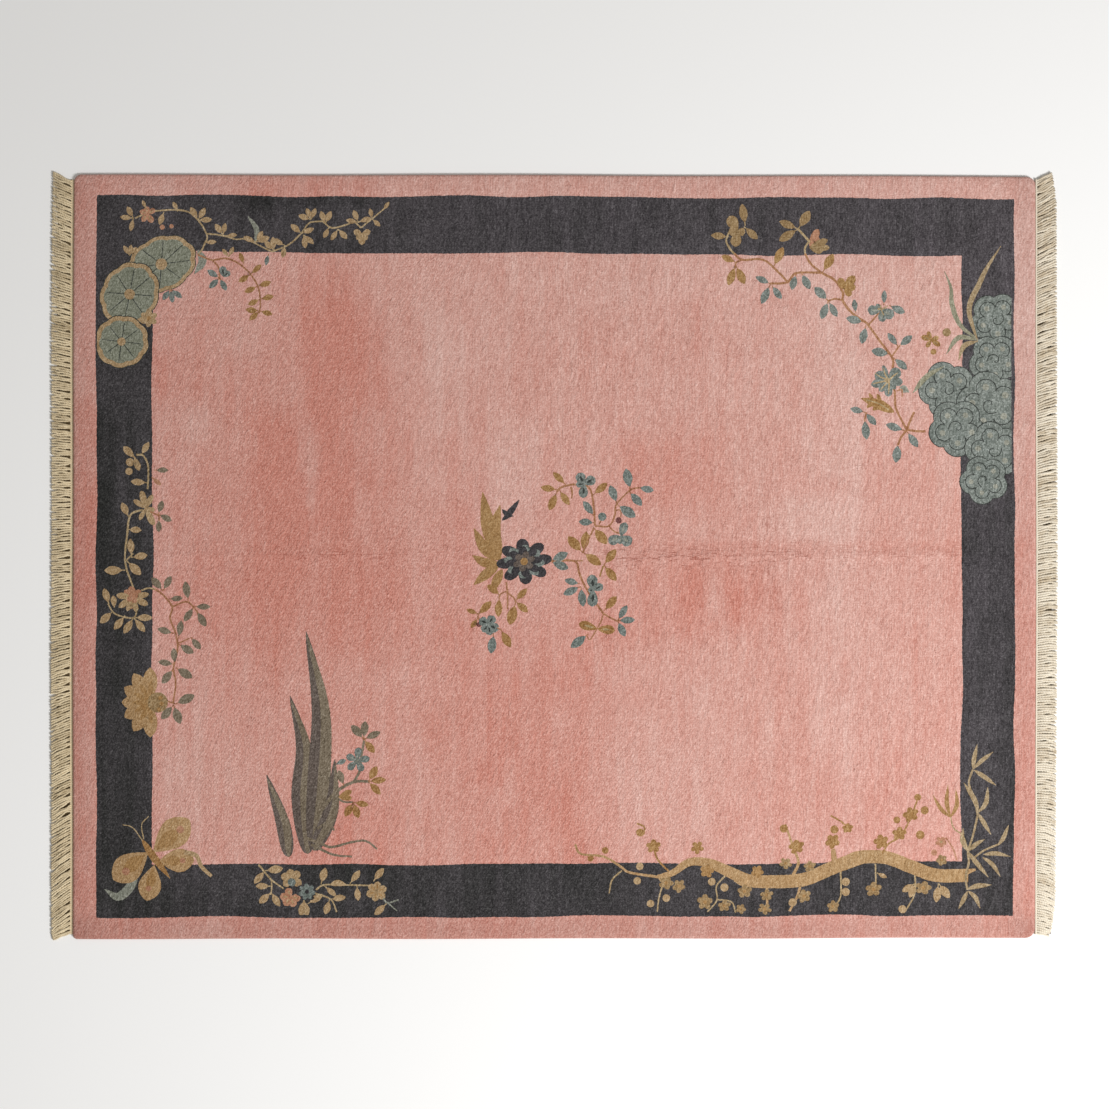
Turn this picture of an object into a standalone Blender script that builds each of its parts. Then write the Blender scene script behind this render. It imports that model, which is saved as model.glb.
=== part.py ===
"""A hand-knotted wool rug with a thick pile and a twisted cotton fringe at both ends, lying flat.

Metres, +Z up. The long side runs along X, the rug rests on z = 0, and the middle of its
bounding box is over the origin. The pile is one slab. Each end carries a woven web with its
fringe, which is a solid of its own.
"""

import math
import random
from collections import namedtuple

import bmesh
import bpy
from mathutils import Vector

# Pile
PILE_LENGTH = 3.05  # end to end, along X
PILE_WIDTH = 2.42  # edge to edge, along Y
THICKNESS = 0.012  # knotted foundation and pile together
CORNER_RADIUS = 0.028
CORNER_STEPS = 4
COLUMNS, ROWS = 36, 28  # how finely the upper face is cut, so that it can be uneven
END_CLEARANCE = 0.05  # no cut runs nearer to an edge than this, which keeps them off the corners

# The dark band, as distances in from the pile's edge
BAND_OUTER = 0.070
BAND_INNER = 0.248

# The rim, from the upper face down to the floor: how far in from the edge, and how high as a
# share of the pile's height there
RimRow = namedtuple("RimRow", "inset share")
RIM = (
    RimRow(0.0100, 1.00),
    RimRow(0.0045, 0.92),
    RimRow(0.0012, 0.70),
    RimRow(0.0000, 0.38),
    RimRow(0.0000, 0.00),
)

# How far each edge strays from a straight line. With u from -1 to 1 along the edge it is
# lean * u + bow * (1 - u * u) + ripple * sin(...), towards +X or +Y
Edge = namedtuple("Edge", "lean bow ripple waves phase")
LEFT = Edge(0.0015, -0.0015, 0.0008, 2.3, 0.4)
RIGHT = Edge(0.0005, 0.0025, 0.0008, 1.8, 1.9)
BOTTOM = Edge(0.0020, -0.0010, 0.0010, 3.1, 0.9)
TOP = Edge(-0.0030, 0.0012, 0.0012, 2.6, 2.5)

# Slow swells of the upper face: height, and turns in the rug's half length and half width
Swell = namedtuple("Swell", "height along across phase")
SWELLS = (
    Swell(0.00035, 1.7, 0.6, 0.3),
    Swell(0.00030, -0.9, 1.6, 1.7),
    Swell(0.00025, 2.9, -1.9, 4.0),
)

# The low ridge that an old fold left along the rug, in two stretches
FOLD_Y = 0.004
FOLD_HALF_WIDTH = 0.016
FOLD_CUTS = (-1.2, 0.0, 1.2)  # where the upper face is cut for it, in half widths
FoldStretch = namedtuple("FoldStretch", "middle half_length height")
FOLD = (FoldStretch(-0.98, 0.34, 0.0014), FoldStretch(0.86, 0.62, 0.0018))

# Fringe
STRANDS = 150  # at each end
END_GAP = 0.0003  # between the pile and the web
WEB_WIDTH = 0.006
WEB_END_INSET = 0.022  # from the pile's long edges
STRAND_WIDTH, TIP_WIDTH = 0.0056, 0.0044
STRAND_HEIGHT, TIP_HEIGHT = 0.0030, 0.0024  # the web is as high as the strands' roots
STRAND_STEPS = 3
STRANDS_A_BAY = 6  # the web's inner edge has one point for this many strands
LEAN_JITTER = 1.2  # degrees
REACH_JITTER = 0.0020

# How the strands lie, from the bottom edge (-1) to the top edge (1): the lean at root and tip
# in degrees towards +Y, and how far out from the web the tips reach
Lie = namedtuple("Lie", "at root tip reach")
LEFT_LIE = (
    Lie(-1.0, -24, -32, 0.064),
    Lie(-0.6, -20, -24, 0.065),
    Lie(-0.2, -12, -14, 0.065),
    Lie(0.2, -5, -6, 0.065),
    Lie(0.6, 5, 4, 0.065),
    Lie(1.0, 16, 22, 0.064),
)
RIGHT_LIE = (
    Lie(-1.0, -14, -40, 0.052),
    Lie(-0.7, 2, -26, 0.057),
    Lie(-0.3, 12, -4, 0.061),
    Lie(0.1, 16, 2, 0.064),
    Lie(0.5, 22, 14, 0.064),
    Lie(1.0, 26, 30, 0.061),
)

# Colours of the dyed wool and the undyed cotton, with their roughness
ROSE = (0.52, 0.25, 0.20, 1.0)
CHARCOAL = (0.045, 0.042, 0.044, 1.0)
CREAM = (0.55, 0.47, 0.35, 1.0)
WOOL_ROUGHNESS = 0.95
COTTON_ROUGHNESS = 0.9


def make_material(name, colour, roughness):
    material = bpy.data.materials.new(name)
    material.use_nodes = True
    shader = material.node_tree.nodes["Principled BSDF"]
    shader.inputs["Base Color"].default_value = colour
    shader.inputs["Roughness"].default_value = roughness
    shader.inputs["Metallic"].default_value = 0.0
    return material


def stray(edge, u):
    """How far an edge lies off its straight line at u, from -1 to 1 along it."""
    ripple = edge.ripple * math.sin(math.pi * edge.waves * u + edge.phase)
    return edge.lean * u + edge.bow * (1 - u * u) + ripple


def settled(x, y):
    """Where a point of the squared-up rug comes to lie, with its edges strayed."""
    u, v = 2 * x / PILE_LENGTH, 2 * y / PILE_WIDTH
    to_right, to_top = (u + 1) / 2, (v + 1) / 2
    return (
        x + (1 - to_right) * stray(LEFT, v) + to_right * stray(RIGHT, v),
        y + (1 - to_top) * stray(BOTTOM, u) + to_top * stray(TOP, u),
    )


def fold_ridge(x, y):
    across = math.exp(-(((y - FOLD_Y) / FOLD_HALF_WIDTH) ** 2))
    along = sum(f.height * math.exp(-(((x - f.middle) / f.half_length) ** 4)) for f in FOLD)
    return along * across


def pile_height(x, y):
    """How high the pile's upper face stands over the floor."""
    u, v = 2 * x / PILE_LENGTH, 2 * y / PILE_WIDTH
    swell = sum(s.height * math.sin(math.pi * (s.along * u + s.across * v) + s.phase) for s in SWELLS)
    return THICKNESS + swell + fold_ridge(x, y)


def rounded_outline(length, width, radius):
    """The points of a rectangle with round corners, counter-clockwise."""
    points = []
    for quarter, (right, up) in enumerate(((1, 1), (-1, 1), (-1, -1), (1, -1))):
        middle = Vector((right * (length / 2 - radius), up * (width / 2 - radius)))
        for step in range(CORNER_STEPS + 1):
            angle = math.pi / 2 * (quarter + step / CORNER_STEPS)
            points.append(middle + radius * Vector((math.cos(angle), math.sin(angle))))
    return points


def even_cuts(span, count, extra):
    """Places of about count even cuts across span, with the extra ones among them."""
    pitch = span / count
    even = [pitch * (step - count / 2) for step in range(1, count)]
    inside = [place for place in even if abs(place) < span / 2 - END_CLEARANCE]
    clear = [place for place in inside if all(abs(place - other) > pitch / 3 for other in extra)]
    return sorted(extra + clear)


def band_edges(span):
    return [side * (span / 2 - inset) for side in (-1, 1) for inset in (BAND_OUTER, BAND_INNER)]


def cut(bm, faces, axis, place):
    """Cuts the given faces along the plane where the axis (0 for X, 1 for Y) equals place."""
    point, normal = Vector(), Vector()
    point[axis], normal[axis] = place, 1
    edges = {edge for face in faces for edge in face.edges}
    corners = {vert for face in faces for vert in face.verts}
    found = bmesh.ops.bisect_plane(
        bm, geom=[*corners, *edges, *faces], dist=1e-6, plane_co=point, plane_no=normal
    )
    return [part for part in found["geom"] if isinstance(part, bmesh.types.BMFace)]


def moved_in(point, inset):
    """An outline point of the pile moved inwards to another row of the rim."""
    core = Vector((PILE_LENGTH / 2 - CORNER_RADIUS, PILE_WIDTH / 2 - CORNER_RADIUS))
    middle = Vector([max(-core[i], min(core[i], point[i])) for i in range(2)])
    out = (Vector(point[:2]) - middle).normalized()
    return middle + out * (CORNER_RADIUS - inset)


def in_band(face):
    """Whether a face of the squared-up pile lies on the dark band."""
    x, y, _ = face.calc_center_median()
    inwards = min(PILE_LENGTH / 2 - abs(x), PILE_WIDTH / 2 - abs(y))
    return BAND_OUTER < inwards < BAND_INNER


def build_pile():
    """The slab: an uneven upper face, a soft rim and a flat underside."""
    bm = bmesh.new()
    top = RIM[0]
    outline = rounded_outline(
        PILE_LENGTH - 2 * top.inset, PILE_WIDTH - 2 * top.inset, CORNER_RADIUS - top.inset
    )
    faces = [bm.faces.new([bm.verts.new((*point, top.share)) for point in outline])]
    columns = even_cuts(PILE_LENGTH, COLUMNS, band_edges(PILE_LENGTH))
    fold_rows = [FOLD_Y + FOLD_HALF_WIDTH * place for place in FOLD_CUTS]
    rows = even_cuts(PILE_WIDTH, ROWS, band_edges(PILE_WIDTH) + fold_rows)
    for axis, places in enumerate((columns, rows)):
        for place in places:
            faces = cut(bm, faces, axis, place)
    for face in faces:
        face.material_index = 1 if in_band(face) else 0
    rim = [edge for edge in bm.edges if edge.is_boundary]
    for row in RIM[1:]:
        made = bmesh.ops.extrude_edge_only(bm, edges=rim)["geom"]
        for vert in (part for part in made if isinstance(part, bmesh.types.BMVert)):
            vert.co = (*moved_in(vert.co, row.inset), row.share)
        rim = [part for part in made if isinstance(part, bmesh.types.BMEdge) and part.is_boundary]
    underside = bmesh.ops.holes_fill(bm, edges=rim)["faces"]
    for place in columns:
        underside = cut(bm, underside, 0, place)
    end_bays = [face for face in underside if abs(face.calc_center_median().x) > columns[-1]]
    for place in rows:
        end_bays = cut(bm, end_bays, 1, place)
    for vert in bm.verts:
        x, y, share = vert.co
        vert.co = (*settled(x, y), share * pile_height(x, y))
    return finish_object("pile", bm, (("rose wool", ROSE), ("charcoal wool", CHARCOAL)), WOOL_ROUGHNESS)


def lie_at(lies, at):
    """The lie of a strand at a place between the rows of its table."""
    after = next(i for i in range(1, len(lies)) if at <= lies[i].at or i == len(lies) - 1)
    low, high = lies[after - 1], lies[after]
    share = (at - low.at) / (high.at - low.at)
    return Lie(*(a + share * (b - a) for a, b in zip(low, high)))


def strand_lie(lies, at, chance):
    """The lie of one strand at a place along the edge, a little off the one in the table."""
    lie = lie_at(lies, at)
    turn = chance.uniform(-LEAN_JITTER, LEAN_JITTER)
    reach = lie.reach + chance.uniform(-REACH_JITTER, REACH_JITTER)
    return Lie(at, lie.root + turn, lie.tip + turn, reach)


def strand_path(lie, share):
    """How far out and how far along +Y a strand has come at a share of its reach."""
    root, tip = math.tan(math.radians(lie.root)), math.tan(math.radians(lie.tip))
    return lie.reach * share, lie.reach * (root * share + (tip - root) * share**2 / 2)


def strand_section(lie, share, root, out):
    """The four corners of a strand at a share of its reach. Its root is square to the web."""
    away, drift = strand_path(lie, share)
    half_width = (STRAND_WIDTH + share * (TIP_WIDTH - STRAND_WIDTH)) / 2
    up = Vector((0, 0, STRAND_HEIGHT + share * (TIP_HEIGHT - STRAND_HEIGHT)))
    lean = math.radians(lie.root + share * (lie.tip - lie.root)) if share else 0.0
    side = Vector((-out * math.sin(lean), math.cos(lean), 0)) * half_width
    centre = root + Vector((out * away, drift, 0))
    return centre - side, centre + side, centre + side + up, centre - side + up


def add_strand(bm, lie, root, out):
    """Skins one strand, open at its root, and returns the four corners there."""
    shares = [step / STRAND_STEPS for step in range(STRAND_STEPS + 1)]
    rings = [[bm.verts.new(p) for p in strand_section(lie, share, root, out)] for share in shares]
    for near, far in zip(rings, rings[1:]):
        for i in range(4):
            bm.faces.new((near[i], near[(i + 1) % 4], far[(i + 1) % 4], far[i]))
    bm.faces.new(rings[-1])
    return rings[0]


def add_bay(bm, start, stop, row):
    """Fills a flat bay of the web between two points of its inner edge and a row of root corners,
    with triangles that are all as broad as the web."""
    middle = len(row) // 2
    for i, (first, second) in enumerate(zip(row, row[1:])):
        bm.faces.new((start if i < middle else stop, second, first))
    bm.faces.new((start, stop, row[middle]))


def add_web(bm, roots, out):
    """Closes the web round the roots: its outer face between them, its ends, and bay by bay its
    inner face, its upper face and its underside."""
    low = [corner for root in roots for corner in (root[0], root[1])]
    high = [corner for root in roots for corner in (root[3], root[2])]
    for i in range(1, len(low) - 1, 2):
        bm.faces.new((low[i], low[i + 1], high[i + 1], high[i]))
    places = [*range(0, len(low) - 1, 2 * STRANDS_A_BAY), len(low) - 1]
    back = Vector((-out * WEB_WIDTH, 0, 0))
    inner = [[bm.verts.new(row[place].co + back) for row in (low, high)] for place in places]
    for end in (0, -1):
        bm.faces.new((*inner[end], high[end], low[end]))
    for bay in range(len(places) - 1):
        (low_a, high_a), (low_b, high_b) = inner[bay : bay + 2]
        roots_of_bay = slice(places[bay], places[bay + 1] + 1)
        bm.faces.new((low_a, low_b, high_b, high_a))
        add_bay(bm, low_a, low_b, low[roots_of_bay])
        add_bay(bm, high_a, high_b, high[roots_of_bay])


def build_fringe(name, out, lies, edge, seed):
    """A web and the strands that grow from it. out is -1 at the left end and 1 at the right."""
    chance = random.Random(seed)
    bm = bmesh.new()
    pitch = (PILE_WIDTH - 2 * WEB_END_INSET) / STRANDS
    roots = []
    for number in range(STRANDS):
        y = pitch * (number + 0.5 - STRANDS / 2)
        at = 2 * y / PILE_WIDTH
        x = out * (PILE_LENGTH / 2 + END_GAP + WEB_WIDTH) + stray(edge, at)
        roots.append(add_strand(bm, strand_lie(lies, at, chance), Vector((x, y, 0)), out))
    add_web(bm, roots, out)
    return finish_object(name, bm, (("cream cotton", CREAM),), COTTON_ROUGHNESS)


def finish_object(name, bm, colours, roughness):
    """Turns the mesh outwards and makes it an object with its own materials."""
    bmesh.ops.recalc_face_normals(bm, faces=bm.faces)
    mesh = bpy.data.meshes.new(name)
    bm.to_mesh(mesh)
    bm.free()
    for label, colour in colours:
        mesh.materials.append(make_material(f"{label} of {name}", colour, roughness))
    made = bpy.data.objects.new(name, mesh)
    bpy.context.scene.collection.objects.link(made)
    return made


def centre_on_floor(objects):
    """Moves the meshes together, so that their bounding box has its middle over the origin."""
    points = [vert.co for made in objects for vert in made.data.vertices]
    shift = Vector([-(min(p[i] for p in points) + max(p[i] for p in points)) / 2 for i in range(2)] + [0])
    for vert in (vert for made in objects for vert in made.data.vertices):
        vert.co += shift


def main():
    for old in list(bpy.data.objects):
        bpy.data.objects.remove(old)
    pile = build_pile()
    left = build_fringe("fringe_left", -1, LEFT_LIE, LEFT, seed=11)
    right = build_fringe("fringe_right", 1, RIGHT_LIE, RIGHT, seed=12)
    centre_on_floor((pile, left, right))


main()
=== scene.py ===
"""Looks of a hand-knotted wool rug: sheared pile with its motifs, and a twisted cotton fringe.

Metres, +Z up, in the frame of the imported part. The rug is drawn squared up, as it comes off the
loom, and then settled onto the floor as its solids are. Motifs are drawn in centimetres from the
middle of the pile, +X to the right and +Y up as seen from above.
"""

import math
import random
from collections import namedtuple

import bpy
from mathutils import Matrix, Vector, noise
from mathutils.geometry import delaunay_2d_cdt
from mathutils.kdtree import KDTree


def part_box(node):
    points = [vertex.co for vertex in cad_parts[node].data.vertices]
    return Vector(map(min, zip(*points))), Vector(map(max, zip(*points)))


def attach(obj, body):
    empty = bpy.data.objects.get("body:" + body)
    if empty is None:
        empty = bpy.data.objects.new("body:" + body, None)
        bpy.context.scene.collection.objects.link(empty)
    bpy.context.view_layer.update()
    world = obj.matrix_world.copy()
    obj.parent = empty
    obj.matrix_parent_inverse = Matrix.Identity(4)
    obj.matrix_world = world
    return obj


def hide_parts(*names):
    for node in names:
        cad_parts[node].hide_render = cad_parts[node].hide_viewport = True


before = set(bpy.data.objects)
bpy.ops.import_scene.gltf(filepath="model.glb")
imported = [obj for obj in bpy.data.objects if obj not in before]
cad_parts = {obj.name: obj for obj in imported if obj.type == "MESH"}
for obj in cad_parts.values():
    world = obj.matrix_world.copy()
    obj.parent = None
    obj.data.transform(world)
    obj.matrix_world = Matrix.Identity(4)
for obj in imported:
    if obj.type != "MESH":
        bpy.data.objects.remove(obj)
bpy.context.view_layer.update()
CM = 0.01

# ---------------------------------------------------------------- the rug's shape, as its solids

PILE_LENGTH = 3.05
PILE_WIDTH = 2.42
THICKNESS = 0.012
Corner = namedtuple("Corner", "x y radius")  # x and y say on which sides it lies
CORNERS = (Corner(1, 1, 0.026), Corner(-1, 1, 0.023), Corner(-1, -1, 0.013), Corner(1, -1, 0.030))
BAND_OUTER = ((0.068, 0.072), (0.075, 0.066), (0.075, 0.069), (0.068, 0.074))  # in from each corner
BAND_INNER = ((0.235, 0.253), (0.253, 0.245), (0.253, 0.238), (0.235, 0.242))

RimRow = namedtuple("RimRow", "inset share")
RIM = (
    RimRow(0.0100, 1.00),
    RimRow(0.0045, 0.92),
    RimRow(0.0012, 0.70),
    RimRow(0.0000, 0.38),
    RimRow(0.0000, 0.00),
)

Edge = namedtuple("Edge", "lean bow ripple waves phase")
LEFT = Edge(0.0015, -0.0015, 0.0008, 2.3, 0.4)
RIGHT = Edge(0.0005, 0.0025, 0.0008, 1.8, 1.9)
BOTTOM = Edge(0.0020, -0.0010, 0.0010, 3.1, 0.9)
TOP = Edge(-0.0030, 0.0012, 0.0012, 2.6, 2.5)

Swell = namedtuple("Swell", "height along across phase")
SWELLS = (
    Swell(0.00035, 1.7, 0.6, 0.3),
    Swell(0.00030, -0.9, 1.6, 1.7),
    Swell(0.00025, 2.9, -1.9, 4.0),
)

FOLD_Y = 0.004
FOLD_HALF_WIDTH = 0.016
FoldStretch = namedtuple("FoldStretch", "middle half_length height")
FOLD = (FoldStretch(-0.98, 0.34, 0.0014), FoldStretch(0.86, 0.62, 0.0018))

# Where the pile is wrinkled, along the fold and along another that crosses it: here the height of a
# stretch is its share of the full wrinkles
CREASES = (FoldStretch(-0.60, 0.40, 0.5), FoldStretch(0.46, 0.38, 1.0), FoldStretch(1.12, 0.34, 0.45))
CREASE_WIDTH = 0.038
CROSS = FoldStretch(0.04, 0.24, 0.7)
CROSS_X = 0.68
CROSS_WIDTH = 0.030

END_GAP = 0.0003
ROOT_OUT = 0.005  # from the pile to where the reach of a strand is counted from
WEB_END_INSET = 0.012

# How the fringe lies at places from -1 to 1 along its end: the slant of its strands at their roots and
# at their tips, in degrees towards +Y, and how far they reach
Lie = namedtuple("Lie", "at root tip reach")
LEFT_LIE = (
    Lie(-1.0, -8, -12, 0.057),
    Lie(-0.95, -32, -42, 0.064),
    Lie(-0.8, -30, -40, 0.065),
    Lie(-0.6, -24, -30, 0.065),
    Lie(-0.2, -12, -14, 0.065),
    Lie(0.2, 1, 0, 0.065),
    Lie(0.6, 13, 14, 0.065),
    Lie(0.85, 20, 24, 0.065),
    Lie(1.0, 21, 29, 0.062),
)
RIGHT_LIE = (
    Lie(-1.0, -4, -10, 0.038),
    Lie(-0.95, -8, -24, 0.052),
    Lie(-0.88, -6, -30, 0.060),
    Lie(-0.7, 2, -26, 0.062),
    Lie(-0.3, 12, -4, 0.063),
    Lie(0.1, 16, 2, 0.064),
    Lie(0.5, 22, 14, 0.064),
    Lie(0.9, 27, 30, 0.062),
    Lie(0.96, 27, 34, 0.052),
    Lie(1.0, 26, 36, 0.045),
)


def stray(edge, u):
    """How far an edge lies off its straight line at u, from -1 to 1 along it."""
    ripple = edge.ripple * math.sin(math.pi * edge.waves * u + edge.phase)
    return edge.lean * u + edge.bow * (1 - u * u) + ripple


def settled(x, y):
    """Where a point of the squared-up rug comes to lie, with its edges strayed."""
    u, v = 2 * x / PILE_LENGTH, 2 * y / PILE_WIDTH
    to_right, to_top = (u + 1) / 2, (v + 1) / 2
    return (
        x + (1 - to_right) * stray(LEFT, v) + to_right * stray(RIGHT, v),
        y + (1 - to_top) * stray(BOTTOM, u) + to_top * stray(TOP, u),
    )


def fold_strength(place, stretches=FOLD):
    """How high a fold is at a place along it."""
    return sum(f.height * math.exp(-(((place - f.middle) / f.half_length) ** 4)) for f in stretches)


def fold_ridge(x, y):
    return fold_strength(x) * math.exp(-(((y - FOLD_Y) / FOLD_HALF_WIDTH) ** 2))


def pile_height(x, y):
    """How high the pile's upper face stands over the floor."""
    u, v = 2 * x / PILE_LENGTH, 2 * y / PILE_WIDTH
    swell = sum(s.height * math.sin(math.pi * (s.along * u + s.across * v) + s.phase) for s in SWELLS)
    return THICKNESS + swell + fold_ridge(x, y)


# ---------------------------------------------------------------- yarns


def screen(red, green, blue):
    """A colour given as a screen shows it, from 0 to 255, turned into light."""
    shares = [part / 255 for part in (red, green, blue)]
    return (*(s / 12.92 if s <= 0.04045 else ((s + 0.055) / 1.055) ** 2.4 for s in shares), 1.0)


# A yarn's colour where the dye took deepest and where it is palest, and how much its knots differ
Yarn = namedtuple("Yarn", "deep pale speckle")
YARNS = {
    "rose": Yarn(screen(198, 133, 119), screen(212, 173, 163), 0.34),
    "charcoal": Yarn(screen(41, 41, 40), screen(82, 77, 81), 0.34),
    "tan": Yarn(screen(158, 132, 98), screen(172, 146, 112), 0.40),
    "fawn": Yarn(screen(142, 116, 82), screen(150, 125, 90), 0.40),
    "honey": Yarn(screen(156, 125, 88), screen(182, 148, 108), 0.35),
    "flax": Yarn(screen(148, 128, 98), screen(160, 140, 110), 0.40),
    "gold": Yarn(screen(146, 111, 68), screen(166, 131, 90), 0.30),
    "straw": Yarn(screen(154, 133, 99), screen(176, 154, 119), 0.45),
    "rust": Yarn(screen(160, 114, 88), screen(180, 134, 108), 0.35),
    "brown": Yarn(screen(146, 98, 70), screen(166, 122, 88), 0.35),
    "olive": Yarn(screen(142, 103, 61), screen(164, 129, 84), 0.45),
    "moss": Yarn(screen(112, 100, 84), screen(134, 122, 104), 0.35),
    "slate": Yarn(screen(90, 80, 74), screen(108, 96, 88), 0.35),
    "sage": Yarn(screen(124, 122, 102), screen(146, 143, 122), 0.35),
    "teal": Yarn(screen(101, 109, 105), screen(125, 131, 125), 0.60),
    "celadon": Yarn(screen(118, 121, 106), screen(136, 138, 122), 0.40),
    "mist": Yarn(screen(122, 124, 113), screen(150, 150, 138), 0.45),
    "navy": Yarn(screen(52, 49, 52), screen(68, 65, 67), 0.30),
    "ink": Yarn(screen(48, 51, 49), screen(62, 65, 62), 0.30),
    "plum": Yarn(screen(100, 60, 58), screen(120, 78, 74), 0.35),
}
YARN_NAMES = list(YARNS)

# ---------------------------------------------------------------- drawing in knots

KNOT = 0.0046  # how far apart the points of an outline lie, about as far as its knots
KNOT_SLIP = 0.0006  # how far a knot lies off its line
THINNEST = 0.0022
DRAWING_SEED = 7
ROUND_POINTS = 16  # the fewest in a round outline
LOBE_FULLNESS = 0.7


def smooth_line(points, step=KNOT):
    """A smooth curve through the points, as places about a step apart."""
    places = [Vector(point) for point in points]
    ends = [2 * places[0] - places[1], *places, 2 * places[-1] - places[-2]]
    line = []
    for a, b, c, d in zip(ends, ends[1:], ends[2:], ends[3:]):
        count = max(2, round((c - b).length / step))
        for i in range(count):
            t = i / count
            curve = (c - a) * t + (2 * a - 5 * b + 4 * c - d) * t**2 + (3 * b - a - 3 * c + d) * t**3
            line.append(b + curve / 2)
    return [*line, places[-1]]


def ribbon(points, width_at):
    """The outline of a strip along a smooth curve, whose width is worked out from 0 to 1 along it."""
    line = smooth_line(points)
    last = len(line) - 1
    right, left = [], []
    for i, place in enumerate(line):
        along = (line[min(i + 1, last)] - line[max(i - 1, 0)]).normalized()
        half = max(width_at(i / last), THINNEST) / 2
        side = Vector((-along.y, along.x)) * half
        right.append(place - side)
        left.append(place + side)
    return right + left[::-1]


def taper(start, end):
    return lambda share: start + share * (end - start)


# Where along it a leaf or petal is widest, and how slim its ends are: 1 is slim and 0.5 is full
Form = namedtuple("Form", "belly slimness")


def lens(width, form):
    """The width of a leaf or petal along it."""
    power = math.log(0.5) / math.log(form.belly)
    return lambda share: width * math.sin(math.pi * min(share, 1) ** power) ** form.slimness


def towards(turn, length=1.0):
    return Vector((math.cos(math.radians(turn)), math.sin(math.radians(turn)))) * length


def petal(base, turn, length, width, form):
    return ribbon((base, base + towards(turn, length)), lens(width, form))


def rosette(centre, radius, lobes, depth, turn=0.0, squash=1.0):
    """A round outline with lobes. squash narrows it across its turn."""
    count = max(ROUND_POINTS, round(math.tau * radius / KNOT))
    outline = []
    for i in range(count):
        angle = math.tau * i / count
        reach = radius * (1 - depth * (1 - abs(math.cos(lobes * angle / 2)) ** LOBE_FULLNESS))
        flat = Vector((reach * math.cos(angle), squash * reach * math.sin(angle)))
        outline.append(centre + Matrix.Rotation(math.radians(turn), 2) @ flat)
    return outline


def disc(centre, radius):
    return rosette(centre, radius, 1, 0.0)


def cut_at_band(outline):
    """An outline cut off straight where it would pass the dark band's outer edge."""
    sizes = zip((PILE_LENGTH, PILE_WIDTH), zip(*BAND_OUTER))
    half = [size / 2 - max(insets) - KNOT / 2 for size, insets in sizes]
    moved = [Vector([max(-half[i], min(half[i], point[i])) for i in range(2)]) for point in outline]
    within = [place == point for place, point in zip(moved, outline)]
    after = within[1:] + within[:1]
    return [place for i, place in enumerate(moved) if within[i] or within[i - 1] or after[i]]


def from_leftmost(outline):
    """The same outline, counter-clockwise and from its leftmost point, where it can't cross itself."""
    first = min(range(len(outline)), key=lambda i: outline[i].x)
    outline = outline[first:] + outline[:first]
    ahead, behind = outline[1] - outline[0], outline[-1] - outline[0]
    if ahead.x * behind.y < ahead.y * behind.x:
        outline = outline[:1] + outline[:0:-1]
    return outline


class Drawing:
    """The outlines of the rug's motifs, in the order they are drawn, each with its yarn."""

    def __init__(self, chance):
        self.chance = chance
        self.shapes = []

    def slip(self):
        return Vector([self.chance.uniform(-KNOT_SLIP, KNOT_SLIP) for _ in range(2)])

    def add(self, yarn, outline):
        knots = [point + self.slip() for point in cut_at_band(outline)]
        self.shapes.append((yarn, from_leftmost(knots)))

    def near(self, value, share):
        return value * (1 + self.chance.uniform(-share, share))


# ---------------------------------------------------------------- motifs, in centimetres

Stem = namedtuple("Stem", "yarn start end points")
Blade = namedtuple("Blade", "yarn width points")
Reed = namedtuple("Reed", "width points")
Petal = namedtuple("Petal", "yarn x y turn length width")
Spray = namedtuple("Spray", "yarn stalk x y length turns")
Flower = namedtuple("Flower", "yarn heart x y radius petals turn")
Star = namedtuple("Star", "yarn heart x y radius petals turn")
Bloom = namedtuple("Bloom", "yarn heart x y petals")  # each petal has its turn, length and width
Spot = namedtuple("Spot", "yarn x y radius")
Pad = namedtuple("Pad", "x y long wide turn")
Cloud = namedtuple("Cloud", "x y radius turn")


def stems(yarn, *rows):
    """Stems of one yarn. Each row is its width at its start and its end, and its points."""
    return [Stem(yarn, start, end, points) for start, end, *points in rows]


def blades(yarn, *rows):
    """Blades of one yarn. Each row is its width and its points."""
    return [Blade(yarn, width, points) for width, *points in rows]


def sprays(yarn, stalk, *rows):
    """Sprays of one yarn. Each row is its x and y, its leaves' length and the turn of each leaf."""
    return [Spray(yarn, stalk, x, y, length, turns) for x, y, length, *turns in rows]


def flowers(yarn, heart, petals, *rows):
    return [Flower(yarn, heart, x, y, radius, petals, turn) for x, y, radius, turn in rows]


def spots(yarn, *rows):
    return [Spot(yarn, *row) for row in rows]


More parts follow.
